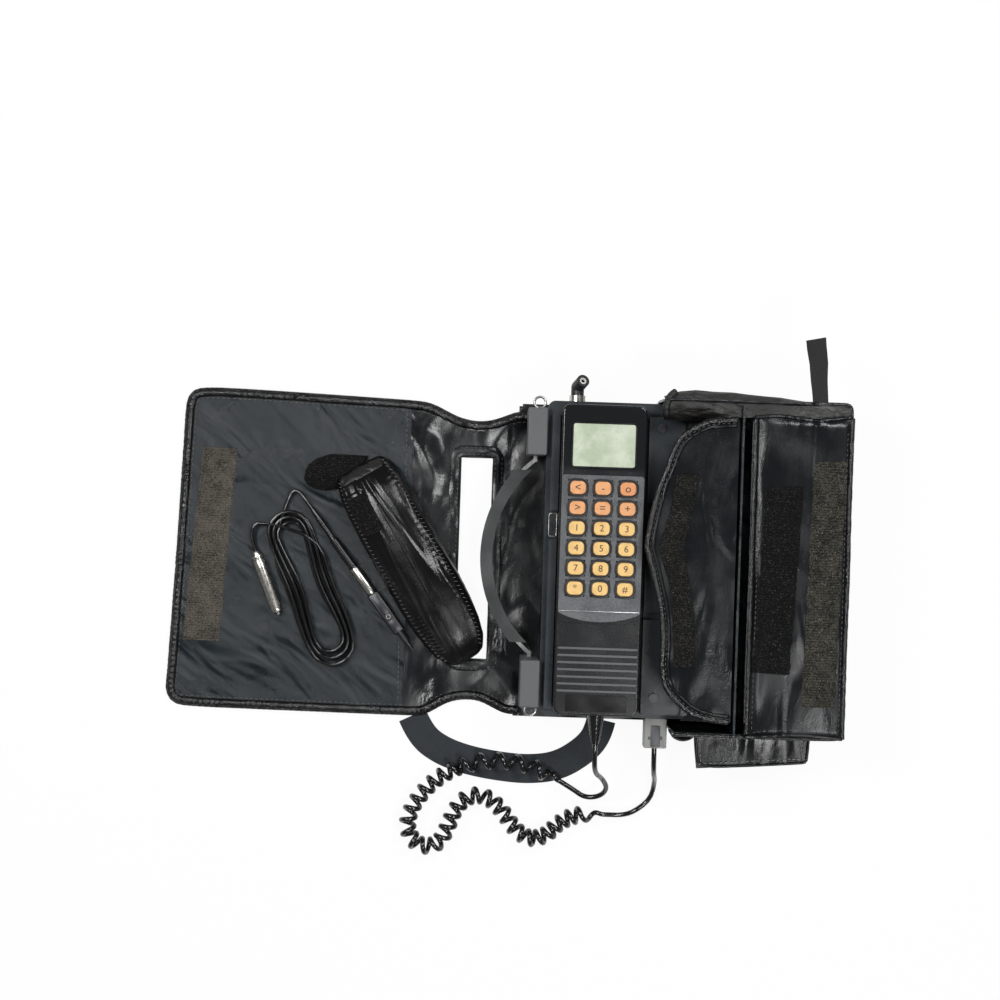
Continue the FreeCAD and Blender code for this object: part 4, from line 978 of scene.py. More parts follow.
def spine_at(u, v):
    x = stops(spine_columns, u)
    low, high = flap_place(x, 0, 2.5), flap_place(x, 1, 2.5)
    y = stops([(0, low), (0.2, -68), (0.8, 68), (1, high)], v)
    crumple = 0.9 * creases(x, y, 34, 4) + 0.35 * creases(x, y * 0.6, 15, 5) + 1.3 * rumple(x, y, 24, 6)
    room = 1.0 if x < -112 else 0.3
    return x, y, 3.2 + 0.75 * crumple * room


def spine_sheet():
    bm = bmesh.new()
    bmesh.ops.create_grid(bm, x_segments=60, y_segments=120, size=0.5)
    for vert in bm.verts:
        vert.co.x += 0.5
        vert.co.y += 0.5
    hole = [f for f in bm.faces if 0.45 < f.calc_center_median().x < 0.75
            and 0.2 < f.calc_center_median().y < 0.8]
    bmesh.ops.delete(bm, geom=hole, context="FACES")
    for vert in bm.verts:
        vert.co = Vector(spine_at(vert.co.x, vert.co.y))
    return thicken(bm, 2.7)


spine = add_piece("spine_vinyl", spine_sheet(), glossy_vinyl, "vinyl", ["spine_panel"])
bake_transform(spine)
print("flap", len(cover.data.polygons) + len(spine.data.polygons), "faces")

# %% [markdown]
# A strip of vinyl is folded over the flap's raw edge and sewn down. The thread gathers it into small
# puckers. One swept section would be too smooth, so the points of its upper part are pushed by fine noise
# and by cross puckers at the stitches' pitch. The binding of the spine and that of the cover meet at the fold.

# %% Piping round the flap
def flap_edge_points():
    """The flap's outline from the hinge, along the top, round the far side and back."""
    upper = [(x, stops(upper_edge, x)) for x in (-101, -106.8, -112, -118.8, -125, -131.8, -139, -146.8,
                                                 -152, -158.8, -165, -171, -178)]
    over = [(-184, 102), (-222, 103.4), (-260, 104.8), (-300, 106), (-318, 106), (-326.2, 104.5),
            (-328.4, 97), (-328.9, 80), (-330.6, 30), (-332, -10), (-333.8, -50), (-335.4, -86),
            (-336.2, -96), (-332, -101.8), (-322, -102.6), (-301, -103), (-250, -103.5), (-184, -104)]
    lower = [(x, stops(lower_edge, x)) for x in (-178, -172, -165, -159, -152, -145, -138, -131, -125,
                                                 -118, -112, -106.8, -101)]
    return upper + over + lower


edge_line = Track(nurbs_points([(x, y, 2.6) for x, y in flap_edge_points()], resolution=10))
piping_section = [
    (-2.6, -2.3), (-0.5, -2.5), (1.9, -2.3), (2.4, -0.6), (2.2, 1.2), (1.0, 2.3), (-0.6, 2.5),
    (-2.0, 2.0), (-2.9, 0.9), (-3.6, 0.6), (-3.9, -0.4),
]


def gathered(bm, ring, step=1.3, pitch=3.6, depth=0.6):
    """Cross puckers at the stitches' pitch, on a swept strip with a number of points in each ring."""
    for number, vert in enumerate(bm.verts):
        turn = math.tau * (number // ring) * step / pitch
        if vert.co.z > 1.0:
            vert.co.z += depth * math.sin(turn + 2.5 * noise.noise(vert.co / 9)) * (0.6 + 0.8 * noise.noise(vert.co / 15))
    return bm


def puckered(bm, depth=0.45, pitch=3.4):
    for vert in bm.verts:
        lift = noise.noise(vert.co / pitch) * depth + noise.noise(vert.co / (pitch * 3.2)) * depth * 0.8
        if vert.co.z > 1.0:
            vert.co.z += lift
            vert.co.x += 0.5 * noise.noise(vert.co / pitch + Vector((9, 0, 0))) * depth
    return bm


def keep_side(bm, x, keep_less):
    """Cut a mesh by the plane at x and close the cut."""
    cut = bmesh.ops.bisect_plane(
        bm, geom=bm.verts[:] + bm.edges[:] + bm.faces[:], plane_co=(x, 0, 0), plane_no=(1, 0, 0),
        clear_outer=keep_less, clear_inner=not keep_less,
    )
    rims = [e for e in cut["geom_cut"] if isinstance(e, bmesh.types.BMEdge)]
    bmesh.ops.holes_fill(bm, edges=rims)
    return bm


piping = puckered(
    gathered(ribbon_bm(edge_line, piping_section, step=0.9), len(piping_section), step=0.9), 0.35,
)
spine_piping = add_piece(
    "spine_piping", keep_side(piping.copy(), PIECES_MEET, False), piping_vinyl, "vinyl",
    ["spine_binding"], 60,
)
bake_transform(spine_piping)
cover_piping = add_piece(
    "cover_piping", keep_side(piping, PIECES_MEET, True), piping_vinyl, "vinyl", ["cover_binding"], 60,
)
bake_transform(cover_piping)

# %% Stitches on the flap
def offset_track(line, across, rise, low=0.0, high=None, step=2.0):
    """A line beside another at the same distance all along."""
    high = line.length if high is None else high
    count = int((high - low) / step)
    found = []
    for k in range(count + 1):
        here, way = line.at(low + k * step), line.way(low + k * step)
        side = Vector((0, 0, 1)).cross(way).normalized()
        found.append(here + side * across + Vector((0, 0, rise)))
    return Track(found)


inner_line = offset_track(edge_line, FLAP_THREAD_IN, 0.95)
flap_thread = stitch_bm(inner_line, 3.6, 2.0, 0.4, 0.5, seed=4)
for label, on_cover, bodies, fold in (("flap_stitches_spine", False, ("bag", "spine"), HINGE_FOLD),
                                      ("flap_stitches_cover", True, ("spine", "cover"), SEAM_FOLD)):
    half = flap_thread.copy()
    away = [v for v in half.verts if (v.co.x < PIECES_MEET) != on_cover]
    bmesh.ops.delete(half, geom=away, context="VERTS")
    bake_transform(add_piece(label, half, thread, "vinyl"))
flap_thread.free()
seam = Track([Vector((-182.2 + 0.6 * math.sin(y / 31), y, 3.35 + 0.8 * flap_wave(-182, y)))
              for y in range(-98, 99, 3)])
seam_piece = add_piece(
    "cover_seam_stitches", stitch_bm(seam, 3.4, 1.9, 0.4, 0.4, seed=5), thread, "vinyl",
)
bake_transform(seam_piece)
print("piping", round(edge_line.length), "mm")

# %% [markdown]
# The handle passes through a long slot in the spine. Its edge is framed by a folded strip with two rows
# of thread. The frame is a rounded rectangle swept with a flat section, so that its inner edge is soft.

# %% Slot frame
def rounded_track(x0, x1, y0, y1, radius, z, steps=6):
    """A closed rounded rectangle."""
    points = []
    for cx, cy, start in ((x1 - radius, y1 - radius, 0), (x0 + radius, y1 - radius, 90),
                          (x0 + radius, y0 + radius, 180), (x1 - radius, y0 + radius, 270)):
        for k in range(steps + 1):
            a = math.radians(start + 90 * k / steps)
            points.append(Vector((cx + radius * math.cos(a), cy + radius * math.sin(a), z)))
    return Track(points, closed=True)


SLOT_LEFT, SLOT_RIGHT, SLOT_HALF, SLOT_CORNER = -148.6, -119.3, 72.4, 4.8
slot_track = rounded_track(SLOT_LEFT, SLOT_RIGHT, -SLOT_HALF, SLOT_HALF, SLOT_CORNER, 3.0)
flat_strip = [
    (-3.6, -2.6), (3.6, -0.9), (3.9, 0.4), (3.0, 1.1), (0, 1.3), (-3.0, 1.2), (-3.9, 0.5), (-4.1, -1.2),
]
slot_bm = ribbon_bm(slot_track, [(-a, b) for a, b in flat_strip][::-1], step=2.0, closed=True)
put("spine", "slot_frame", puckered(slot_bm, 0.3, 6), glossy_vinyl, "vinyl", smooth=60)
slot_thread = bmesh.new()
for grow in (-2.2, 2.4):
    reach = SLOT_HALF + grow
    row = rounded_track(SLOT_LEFT - grow, SLOT_RIGHT + grow, -reach, reach, SLOT_CORNER, 4.35)
    join_bm(slot_thread, stitch_bm(row, 3.2, 1.8, 0.35, 0.4, seed=7))
put("spine", "slot_frame_stitches", slot_thread, thread, "vinyl")

# %% Hook strip on the cover
def strip_bm(corners, thick, columns=14, rows=70, rough=0.25, size=2.2, edge=0.5, lift=None):
    """A flat strip between four corners: lower left, lower right, upper left, upper right."""
    (ax, ay), (bx, by), (cx, cy), (dx, dy) = corners

    def at(u, v):
        x = between(between(ax, bx, u), between(cx, dx, u), v)
        y = between(between(ay, by, u), between(cy, dy, u), v)
        x += edge * rumple(x, y, 3.1, 8) * (1 if u in (0, 1) else 0.3)
        base = lift(x, y) if lift else 0.0
        side = min(u, 1 - u) * (columns / 2)
        return x, y, base + thick * soft_step(side + 0.35) + rough * rumple(x, y, size, 9)

    return sheet_bm(columns, rows, at, 0.9)


hook_corners = [(-329.2, -61.5), (-304.6, -61.5), (-319.8, 69.5), (-296.2, 69.0)]
hook_bm = strip_bm(hook_corners, 1.2, lift=lambda x, y: 2.9 + 0.8 * flap_wave(x, y))
put("cover", "cover_hook_tape", hook_bm, hook_tape, "hook_tape", ["cover_hook"], 60)
hook_edge = bmesh.new()
for dx, seed in ((1.3, 1), (22.6, 2)):
    line = Track([Vector((-329.2 + dx + 9.0 * t / 40, -60 + 128 * t / 40,
                          4.0 + 0.8 * flap_wave(-329.2 + dx + 9.0 * t / 40, -60 + 128 * t / 40))) for t in range(41)])
    join_bm(hook_edge, stitch_bm(line, 3.0, 1.6, 0.35, 0.4, seed=seed))
put("cover", "cover_hook_stitches", hook_edge, thread, "hook_tape")
print("slot frame and hook strip ready")

# %% [markdown]
# The right half of the bag is a box of soft walls round the phone and battery, with a pocket on top. The
# walls are sheets that follow the bag's outline, bulging a little at mid height. A wall of flat plates
# would look like card, so folds run down each wall and the top edge is rolled and sewn.

# %% Gusset walls
wall_line = Track(nurbs_points([
    (-2.2, -104.8, 0), (30, -104.9, 0), (70, -104.9, 0), (97, -104.9, 0), (103.6, -104.5, 0),
    (103.9, -98, 0), (103.9, -50, 0), (103.9, 0, 0), (103.9, 60, 0), (103.8, 99, 0), (103.5, 107, 0),
    (96, 107.4, 0), (60, 107.4, 0), (20, 107.4, 0), (-14, 107.4, 0),
], resolution=10))


def wall_at(u, v):
    here, way = wall_line.at(u * wall_line.length), wall_line.way(u * wall_line.length)
    out = Vector((way.y, -way.x, 0))
    z = between(0.6, 70.2, v)
    along = u * wall_line.length
    fold = 0.8 * creases(along, z * 0.5, 15, 11) + 0.7 * rumple(along, z, 24, 12)
    bulge = 1.0 * math.sin(math.pi * v) + fold * math.sin(math.pi * min(1, v * 1.2))
    return tuple(here + out * (0.4 + max(-1.2, bulge)) + Vector((0, 0, z)))


put("bag", "bag_walls", sheet_bm(190, 34, wall_at, 1.6), pocket_vinyl, "vinyl", ["bag_tub"], 60)


def rolled(points, radius, name, finish=piping_vinyl, body="bag", slot="vinyl", pucker=0.25, flat=1.0):
    """A rolled, sewn edge along a few given points."""
    line = Track(nurbs_points(points, resolution=10))
    bm = puckered(ribbon_bm(line, oval(radius, radius * flat, 10), step=1.6), pucker, 4.0)
    put(body, name, bm, finish, slot, smooth=180)
    return line


wall_top = [
    (-2.2, -105.2, 69.6), (60, -105.3, 70.2), (98, -105.2, 70.4), (104.2, -104, 70.4), (104.4, -97, 70.4),
    (104.3, -30, 70.6), (104.4, 50, 70.4), (104.3, 100, 70.2), (103.6, 107.6, 70.2), (96, 107.8, 70.2),
    (40, 107.6, 69.8), (-13, 107.6, 69.2),
]
rolled(wall_top, 1.1, "bag_walls_top_edge")
wall_base = [
    (-2.0, -105.6, 1.3), (60, -105.7, 1.3), (98, -105.6, 1.3), (104.3, -104.2, 1.3), (104.9, -97, 1.3),
    (104.8, 0, 1.3), (104.9, 99, 1.3), (104.2, 107.4, 1.3), (96, 108.0, 1.3), (40, 107.9, 1.3),
    (-13, 107.8, 1.3),
]
rolled(wall_base, 1.25, "bag_walls_base_edge")
print("walls", round(wall_line.length), "mm round")

# %% [markdown]
# The bag's back panel lies on the table under everything. It is one stiffened slab.

# %% Back panel
def back_at(u, v):
    x, y = between(-104.2, 104.4, u), between(-105.6, 105.6, v)
    return x, y, 2.9


back_panel = sheet_bm(40, 40, back_at, 2.7)
put("bag", "bag_back_panel", back_panel, glossy_vinyl, "vinyl", ["back_panel"], 60)
rolled([(-105, -104, 1.5), (-105, 0, 1.5), (-105, 104, 1.5)], 1.4, "bag_hinge_roll", pucker=0.0)

# %% [markdown]
# The pocket's front is thick padded vinyl. Its upper edge waves, its left edge is a stitched hem over the
# pocket's mouth, and its right edge turns over a bound ridge. It is modelled as a grid whose height falls
# off towards the edges, with long soft dents where papers have pressed from inside.

# %% Pocket front
pocket_top = [(0, 98.0), (0.2, 99.6), (0.4, 98.4), (0.62, 96.6), (0.85, 98.4), (1, 99.6)]
pocket_low = [(0, -105.6), (0.3, -103.6), (0.52, -102.4), (0.8, -103.6), (1, -104.6)]


def pocket_height(x, y):
    edge = min(
        soft_step((x - 43) / 7), soft_step((104.8 - x) / 5), soft_step((99.5 - y) / 6),
        soft_step((y + 106) / 6),
    )
    dents = 1.1 * rumple(x * 1.6, y * 0.6, 27, 21) + 0.3 * creases(x * 2, y * 0.8, 44, 22)
    return 72.4 + edge * (0.9 + 0.6 * dents) - (1 - edge) * 0.9


def pocket_at(u, v):
    low, high = stops(pocket_low, u), stops(pocket_top, u)
    x, y = between(42.6, 104.6, u), between(low, high, v)
    x += 0.7 * rumple(0, y, 40, 23) * (1 - u)
    return x, y, pocket_height(x, y)


put(
    "bag", "pocket_front_vinyl", sheet_bm(56, 150, pocket_at, 1.7), pocket_vinyl, "vinyl",
    ["pocket_front"], 60,
)
rolled([(42.9, -103, 73.0), (43.1, -60, 73.2), (42.7, 0, 73.3), (43.0, 60, 73.2), (42.8, 97, 73.0)],
                       1.7, "pocket_hem", pucker=0.35, flat=0.9)
rolled([(42, 97.6, 72.4), (55, 99.4, 72.3), (67, 98.2, 72.1), (81, 96.4, 72.3), (95, 98.2, 72.3),
                            (104, 99.4, 71.6)], 1.2, "pocket_top_hem", pocket_vinyl, pucker=0.3)
rolled(
    [(104.0, -104.4, 71.6), (103.6, -50, 72.4), (104.0, 0, 72.5), (103.5, 50, 72.4), (104.2, 99, 71.6)],
    1.6, "pocket_side_piping", pucker=0.45,
)
rolled(
    [(42, -105, 72.2), (60, -103.4, 72.4), (76, -102.4, 72.4), (93, -103.6, 72.3), (104, -104.4, 71.6)],
    1.2, "pocket_low_hem", pocket_vinyl, pucker=0.3,
)


def on_pocket(x, y, rise):
    return Vector((x, y, pocket_height(x, y) + rise))


pocket_thread = bmesh.new()
rows = [[(46.4, -101 + 4 * k) for k in range(49)], [(101.2, -101 + 4 * k) for k in range(49)],
        [(46 + 3 * k, stops(pocket_top, (46 + 3 * k - 42.6) / 62) - 3.4) for k in range(19)],
        [(46 + 3 * k, stops(pocket_low, (46 + 3 * k - 42.6) / 62) + 3.4) for k in range(19)]]
for seed, row in enumerate(rows):
    join_bm(
        pocket_thread,
        stitch_bm(Track([on_pocket(x, y, 0.1) for x, y in row]), 3.3, 1.9, 0.36, 0.4, seed=seed),
    )
put("bag", "pocket_stitches", pocket_thread, thread, "vinyl")
print("pocket front ready")

# %% [markdown]
# Two strips of loop tape are sewn on the pocket. The left one is black, the right one olive and worn bare
# in patches. They are thin grids with ragged edges; single fibres would cost too many faces for so little.

# %% Loop tape on the pocket
for name, corners, finish in (
    ("loop_tape_left", [(45.2, -63.6), (69.2, -64.8), (50.6, 53.6), (74.4, 55.2)], loop_black),
    ("loop_tape_right", [(77.2, -84.2), (98.4, -84.8), (80.4, 70.6), (101.4, 71.6)], loop_olive),
):
    bm = strip_bm(
        corners, 1.1, 16, 90, rough=0.35, size=1.7, edge=0.9, lift=lambda x,
        y: pocket_height(x, y) - 0.35,
    )
    put("bag", name, bm, finish, "loop_tape", smooth=60)
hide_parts("loop_strips")
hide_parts("loop_strips")

# %% [markdown]
# Behind the front, the pocket's floor and rear wall are thin lined sheets. The rear wall rises to the
# flap's hinge. A ridge of piping runs along each side of the mouth, one of them with a row of thread, and
# both keep clear of the opening between them.

# %% Pocket inside and mouth ridges
def pocket_floor_at(u, v):
    x, y = between(35.2, 102.4, u), between(-103.4, 106.1, v)
    return x, y, 46.6 + 0.5 * rumple(x, y, 30, 31)


def pocket_back_at(u, v):
    y = between(-103.4, 104.4, u)
    z = between(45.0, 74.2, v)
    return 34.4 + 0.3 * rumple(y, z, 18, 32) * math.sin(math.pi * v), y, z


pocket_bm = sheet_bm(20, 44, pocket_floor_at, 1.4)
rear = sheet_bm(90, 14, pocket_back_at, 1.3)
join_bm(pocket_bm, rear)
put("bag", "pocket_inside_lining", pocket_bm, lining, "lining", ["pocket_wall"], 60)
for k, (x, z, size) in enumerate(((34.9, 73.2, 0.8), (41.4, 73.5, 0.75))):
    points = [(x + 0.15 * math.sin(y / 23 + k), y, z + 0.2 * math.sin(y / 17 + 2 * k))
              for y in range(-96, 99, 12)]
    rolled(points, size, f"mouth_ridge_{k}", pucker=0.2)
mouth_row = Track([Vector((34.9 + 0.15 * math.sin(y / 23), y, 73.9)) for y in range(-94, 96, 4)])
put("bag", "mouth_stitches", stitch_bm(mouth_row, 3.0, 1.8, 0.4, 0.5, seed=9), thread, "vinyl")
print("pocket inside ready")

# %% [markdown]
# The pocket's flap has been folded back over the phone. It is V-shaped, with a doubled, glossy binding
# along the V and a chevron of hook tape that used to meet the pocket. It turns on the seam at the
# mouth, so the whole flap rides on its own body.

# %% Pocket flap
LID_SECOND_IN, LID_THREAD_IN = 3.4, 1.9
flap_edge = [
    (-96.2, -1), (-90, 6), (-86, 1), (-80, -6), (-71, -10.5), (-60, -11.7), (-45, -11.2), (-30, -12.3),
    (-15, -15.5), (0, -19.4), (10, -22.6), (14.5, -23.4), (19, -23.0), (30, -21.4), (42, -18.8),
    (52, -16.6), (62, -12.6), (72, -9.4), (80, -6.2), (86, -1.6), (92, 5.4), (96.5, 11),
]


def lid_left(y):
    return stops(flap_edge, y)


def lid_height(x, y):
    fall = soft_step((12 - x) / 30)
    wave = 0.9 * rumple(x, y, 26, 41) + 0.3 * creases(x, y, 34, 42)
    return 74.5 + 0.5 * wave - 0.9 * fall


def lid_at(u, v):
    y = between(-95.6, 95.9, v)
    left = lid_left(y) + 1.2
    x = between(left, 32.4, u)
    return x, y, lid_height(x, y)


put(
    "pocket_lid", "pocket_flap_vinyl", sheet_bm(44, 130, lid_at, 1.9), flap_vinyl, "vinyl",
    ["pocket_flap"], 60,
)
lid_points = [(31.5, -95.6, 74.4), (20, -94.8, 74.3), (8, -91.5, 74.1)]
lid_points += [(max(x, -23.4), y, 73.9) for y, x in flap_edge[3:-2]]
lid_points += [(6, 90.6, 74.1), (14, 94.6, 74.3), (31.5, 95.4, 74.4)]
lid_line = rolled(lid_points, 1.9, "pocket_flap_piping", body="pocket_lid", pucker=0.45, flat=0.75)
inner_bm = puckered(
    ribbon_bm(offset_track(lid_line, -LID_SECOND_IN, 0.55), oval(1.35, 0.95, 10), step=1.6), 0.35, 4.0,
)
put("pocket_lid", "pocket_flap_second_piping", inner_bm, flap_vinyl, "vinyl", smooth=180)
lid_thread_line = offset_track(lid_line, -LID_THREAD_IN, 0.95)
put(
    "pocket_lid", "pocket_flap_stitches", stitch_bm(lid_thread_line, 3.2, 1.8, 0.38, 0.5, seed=12),
    thread, "vinyl",
)
chevron_left = [(-62, -4.2), (-30, -6.2), (-10, -8.6), (13, -16.4), (36, -9.8), (60, -6.4)]
chevron_right = [(-62, 9.2), (-30, 7.6), (-10, 4.6), (13, -0.4), (36, 4.6), (60, 8.4)]


def chevron_at(u, v):
    y = between(-62, 60, v)
    x = between(stops(chevron_left, y), stops(chevron_right, y), u) + 0.6 * rumple(u * 9, y, 3.3, 43)
    side = min(u, 1 - u) * 8
    return x, y, lid_height(x, y) + 0.1 + 0.9 * soft_step(side + 0.3) + 0.3 * rumple(x, y, 1.7, 44)


chevron_bm = sheet_bm(14, 76, chevron_at, 0.7)
put("pocket_lid", "pocket_flap_tape", chevron_bm, loop_dark, "loop_tape", ["pocket_flap_hook"], 60)
print("pocket flap", round(lid_line.length), "mm edge")

# %% [markdown]
# Loose parts of the gusset hang outside the walls: a sagging fold above, with a rolled open end, a
# stitched flap below, and a tab of webbing to pull. They are thin cloth, so each is one sheet that
# droops away from where it is sewn.

# %% Gusset folds and pull tab
def upper_at(u, v):
    x = between(-15.0, 84.0, u)
    reach = stops([(0, 3.0), (0.1, 6.5), (0.2, 7.6), (0.45, 6.6), (0.75, 4.6), (1, 1.4)], u)
    y = 106.6 + reach * math.sin(v * math.pi / 2) + 0.5 * rumple(x, v * 9, 14, 51)
    z = 71.0 - 7.5 * v * v - 1.3 * math.sin(math.pi * v) * (1 + rumple(x, 0, 12, 52))
    return x, y, z + 0.7 * creases(x, v * 20, 13, 53)


upper_bm = sheet_bm(80, 12, upper_at, 1.1)
put("bag", "gusset_upper_fold", upper_bm, matt_vinyl, "vinyl", ["side_flaps"], 60)


def canopy_at(u, v):
    """The soft top of the gusset between its upper edge and the phone."""
    x = between(-14.5, 103.0, u)
    inner = soft_step((x + 2) / 38)
    y = between(between(94.5, 97.4, inner), 107.4, v)
    z = 70.6 - 9.0 * (1 - v) ** 2 * (1 - inner) + (0.8 - 0.5 * inner) * (rumple(x, y, 10, 54) + 0.5 * creases(x, y, 9, 55))
    return x, y, max(z, 70.15) if x > 30 else z


canopy_bm = sheet_bm(92, 14, canopy_at, 0.35)
put("bag", "gusset_canopy", canopy_bm, matt_vinyl, "vinyl", (), 60)
rolled(
    [(-13.4, 97, 65.0), (-13.8, 101, 68.6), (-13.4, 106, 70.3), (-11.0, 110.5, 68.8), (-8, 112.4, 67.4)],
    2.4, "gusset_rolled_end", matt_vinyl,
)
rolled(
    [(-14, 107.3, 71.4), (10, 107.9, 71.6), (40, 107.5, 71.7), (82, 107.3, 71.4)], 1.0,
    "gusset_seam_band", pocket_vinyl,
)


def lower_at(u, v):
    side = stops([(0, 14.6), (1, 17.6)], v), stops([(0, 91.6), (1, 89.6)], v)
    x = between(side[0], side[1], u)
    low = between(-132.4, -126.4, u)
    y = between(-106.2, low, v)
    return x, y, 32.4 + 0.7 * rumple(x, y, 22, 56) - 0.8 * v + 0.5 * creases(x, y, 17, 57)


lower_bm = sheet_bm(64, 24, lower_at, 1.8)
put("bag", "gusset_lower_flap", lower_bm, pocket_vinyl, "vinyl", ["side_flaps"], 60)
lower_thread = bmesh.new()
for row in ([(17.6 + 3 * k, between(-129.4, -123.6, k / 23)) for k in range(24)],
            [(18.2 + 0.1 * k, -108 - k) for k in range(21)], [(88.4 - 0.1 * k, -108 - k) for k in range(16)]):
    line = Track([Vector((x, y, 32.75 + 0.5 * rumple(x, y, 22, 56))) for x, y in row])
    join_bm(lower_thread, stitch_bm(line, 3.4, 2.0, 0.4, 0.6, seed=len(row)))
put("bag", "gusset_lower_stitches", lower_thread, pale_thread, "vinyl")
rolled([(16.2, -107, 32.4), (17, -120, 32.2), (18.6, -131.6, 31.8), (50, -129.6, 31.8),
        (87, -126.6, 31.8), (89.6, -126.0, 31.8), (90.2, -122, 31.9), (91, -107, 32.3)],
       1.0, "gusset_lower_hem", pocket_vinyl)


def fold_at(u, v):
    a = math.pi * u
    return 5.5 - 7 * math.cos(a), -106.4 - 4.4 * math.sin(a) - 0.4 * rumple(u * 9, v * 9, 3, 58), between(
        37, 51.5, v,
    )


fold_bm = sheet_bm(20, 8, fold_at, 1.0)
put("bag", "gusset_side_fold", fold_bm, matt_vinyl, "vinyl", ["side_flaps"], 60)

tab_line = [
    (0, (78.9, 107.2)), (0.3, (77.4, 121)), (0.6, (76.4, 132)), (0.85, (74.0, 142)), (1, (73.2, 147.4)),
]


def tab_at(u, v):
    x = stops([(t, p[0]) for t, p in tab_line], v) + between(9.6, 12.6, v) * u
    y = stops([(t, p[1]) for t, p in tab_line], v) + 2.6 * u * v
    return x, y, 70.3 + 0.9 * math.sin(v * 7.5 + 1.5 * u) + 0.25 * rumple(x, y, 6, 59)


tab_bm = sheet_bm(10, 36, tab_at, 1.3)
put("bag", "pull_tab_webbing", tab_bm, tab_webbing, "webbing", ["pull_tab"], 60)
print("gusset folds ready")

# %% [markdown]
# The shoulder strap is flat webbing, so it is modelled directly as a strip, with a weave of its own along
# its length. It leaves the flap's lower edge, lies in one slow bend and goes under the bag.

# %% Shoulder strap
strap_route = [
    (-172, -108, 0.8), (-166, -121, 0.8), (-152, -131, 0.8), (-134, -137, 0.8), (-113, -140.5, 0.8),
    (-92, -142, 0.8), (-72, -139, 0.8), (-55, -128, 0.8), (-46, -117, 0.8), (-44, -106.6, 0.8),
]
strap_line = Track(nurbs_points(strap_route, resolution=8))
strap_section = [
    (-9.6, -0.5), (9.6, -0.5), (9.9, 0), (9.6, 0.45), (4, 0.55), (-4, 0.55), (-9.6, 0.45), (-9.9, 0),
]
strap_bm = ribbon_bm(strap_line, strap_section, step=2.0)
strap = put("bag", "shoulder_strap_webbing", strap_bm, webbing, "webbing", ["shoulder_strap"], 60)
print("strap", round(strap_line.length), "mm")

# %% [markdown]
# The pouch is a soft leatherette case with something in it. Its shape is a form swept through two tables of
# width and height, remeshed evenly. A short run as cloth under pressure, with its sewn edges and base held,
# moves it by about 0.2 mm at most, so that run hardly shows. The ridges and puckers beside the seams, which
# keep a swept form from looking like a loaf, are added by formula afterwards.

# %% Pouch form
POUCH_TURN = math.radians(-58.5)
POUCH_LENGTH, POUCH_FLOOR = 150.0, 3.5
POUCH_HALF_WIDTH, POUCH_HALF_HEIGHT = 23.6, 11.6
POUCH_START = Vector((-214, 60.6, 0))
POUCH_RINGS, POUCH_SIDES = 48, 36
SEAM_SHARE = 0.8
CLOTH_FRAMES = 20
pouch_way = Vector((math.cos(POUCH_TURN), math.sin(POUCH_TURN), 0))
pouch_side = Vector((-pouch_way.y, pouch_way.x, 0))
pouch_wide = [(0, 0.7), (0.03, 0.83), (0.12, 0.94), (0.22, 0.985), (0.3, 1), (0.65, 1),
              (0.75, 0.97), (0.85, 0.89), (0.92, 0.78), (0.97, 0.62), (1, 0.42)]
pouch_high = [(0, 0.5), (0.05, 0.72), (0.15, 0.9), (0.24, 0.97), (0.35, 1), (0.65, 1),
              (0.75, 0.985), (0.85, 0.93), (0.92, 0.83), (0.97, 0.66), (1, 0.42)]


def pouch_place(along, across, up):
    return POUCH_START + pouch_way * along + pouch_side * across + Vector((0, 0, up))


def pouch_form():
    bm = bmesh.new()
    rings = []
    for k in range(POUCH_RINGS + 1):
        u = k / POUCH_RINGS
        wide, high = POUCH_HALF_WIDTH * stops(pouch_wide, u), POUCH_HALF_HEIGHT * stops(pouch_high, u)
        ring = []
        for j in range(POUCH_SIDES):
            c, s = math.cos(math.tau * j / POUCH_SIDES), math.sin(math.tau * j / POUCH_SIDES)
            across = wide * math.copysign(abs(c) ** 0.8, c)
            up = POUCH_FLOOR + high * (1 + math.copysign(abs(s) ** 0.85, s))
            ring.append(bm.verts.new(pouch_place(1 + u * POUCH_LENGTH, across, up)))
        rings.append(ring)
    for low, high_ring in zip(rings, rings[1:]):
        for j in range(POUCH_SIDES):
            n = (j + 1) % POUCH_SIDES
            bm.faces.new((low[j], low[n], high_ring[n], high_ring[j]))
    bm.faces.new(rings[0][::-1])
    bm.faces.new(rings[-1])
    return bm


def pouch_local(place):
    """A place as (along, across) of the pouch, in millimetres."""
    off = Vector(place) - POUCH_START
    return off.dot(pouch_way), off.dot(pouch_side)


def edge_at(along, share):
    """How far the pouch's side is from its middle, times a share."""
    return POUCH_HALF_WIDTH * stops(pouch_wide, min(1.0, max(0.0, along / POUCH_LENGTH))) * share


def inflate(item, held, pressure=4.0, most=0.0022):
    """Run a closed piece as cloth under pressure, and keep its movement up to a limit in metres."""
    before = [v.co.copy() for v in item.data.vertices]
    group = item.vertex_groups.new(name="held")
    group.add([v.index for v in item.data.vertices if held(v.co)], 1.0, "ADD")
    cloth_step = item.modifiers.new("cloth", "CLOTH")
    settings = cloth_step.settings
    settings.quality = 4
    settings.use_pressure = True
    settings.uniform_pressure_force = pressure
    settings.vertex_group_mass = "held"
    settings.effector_weights.gravity = 0
    cloth_step.point_cache.frame_start, cloth_step.point_cache.frame_end = 1, CLOTH_FRAMES
    for number in range(1, CLOTH_FRAMES + 1):
        bpy.context.scene.frame_set(number)
    finish_modifiers(item)
    for vert, start in zip(item.data.vertices, before):
        move = vert.co - start
        if move.length > most:
            vert.co = start + move * (most / move.length)
    bpy.context.scene.frame_set(1)


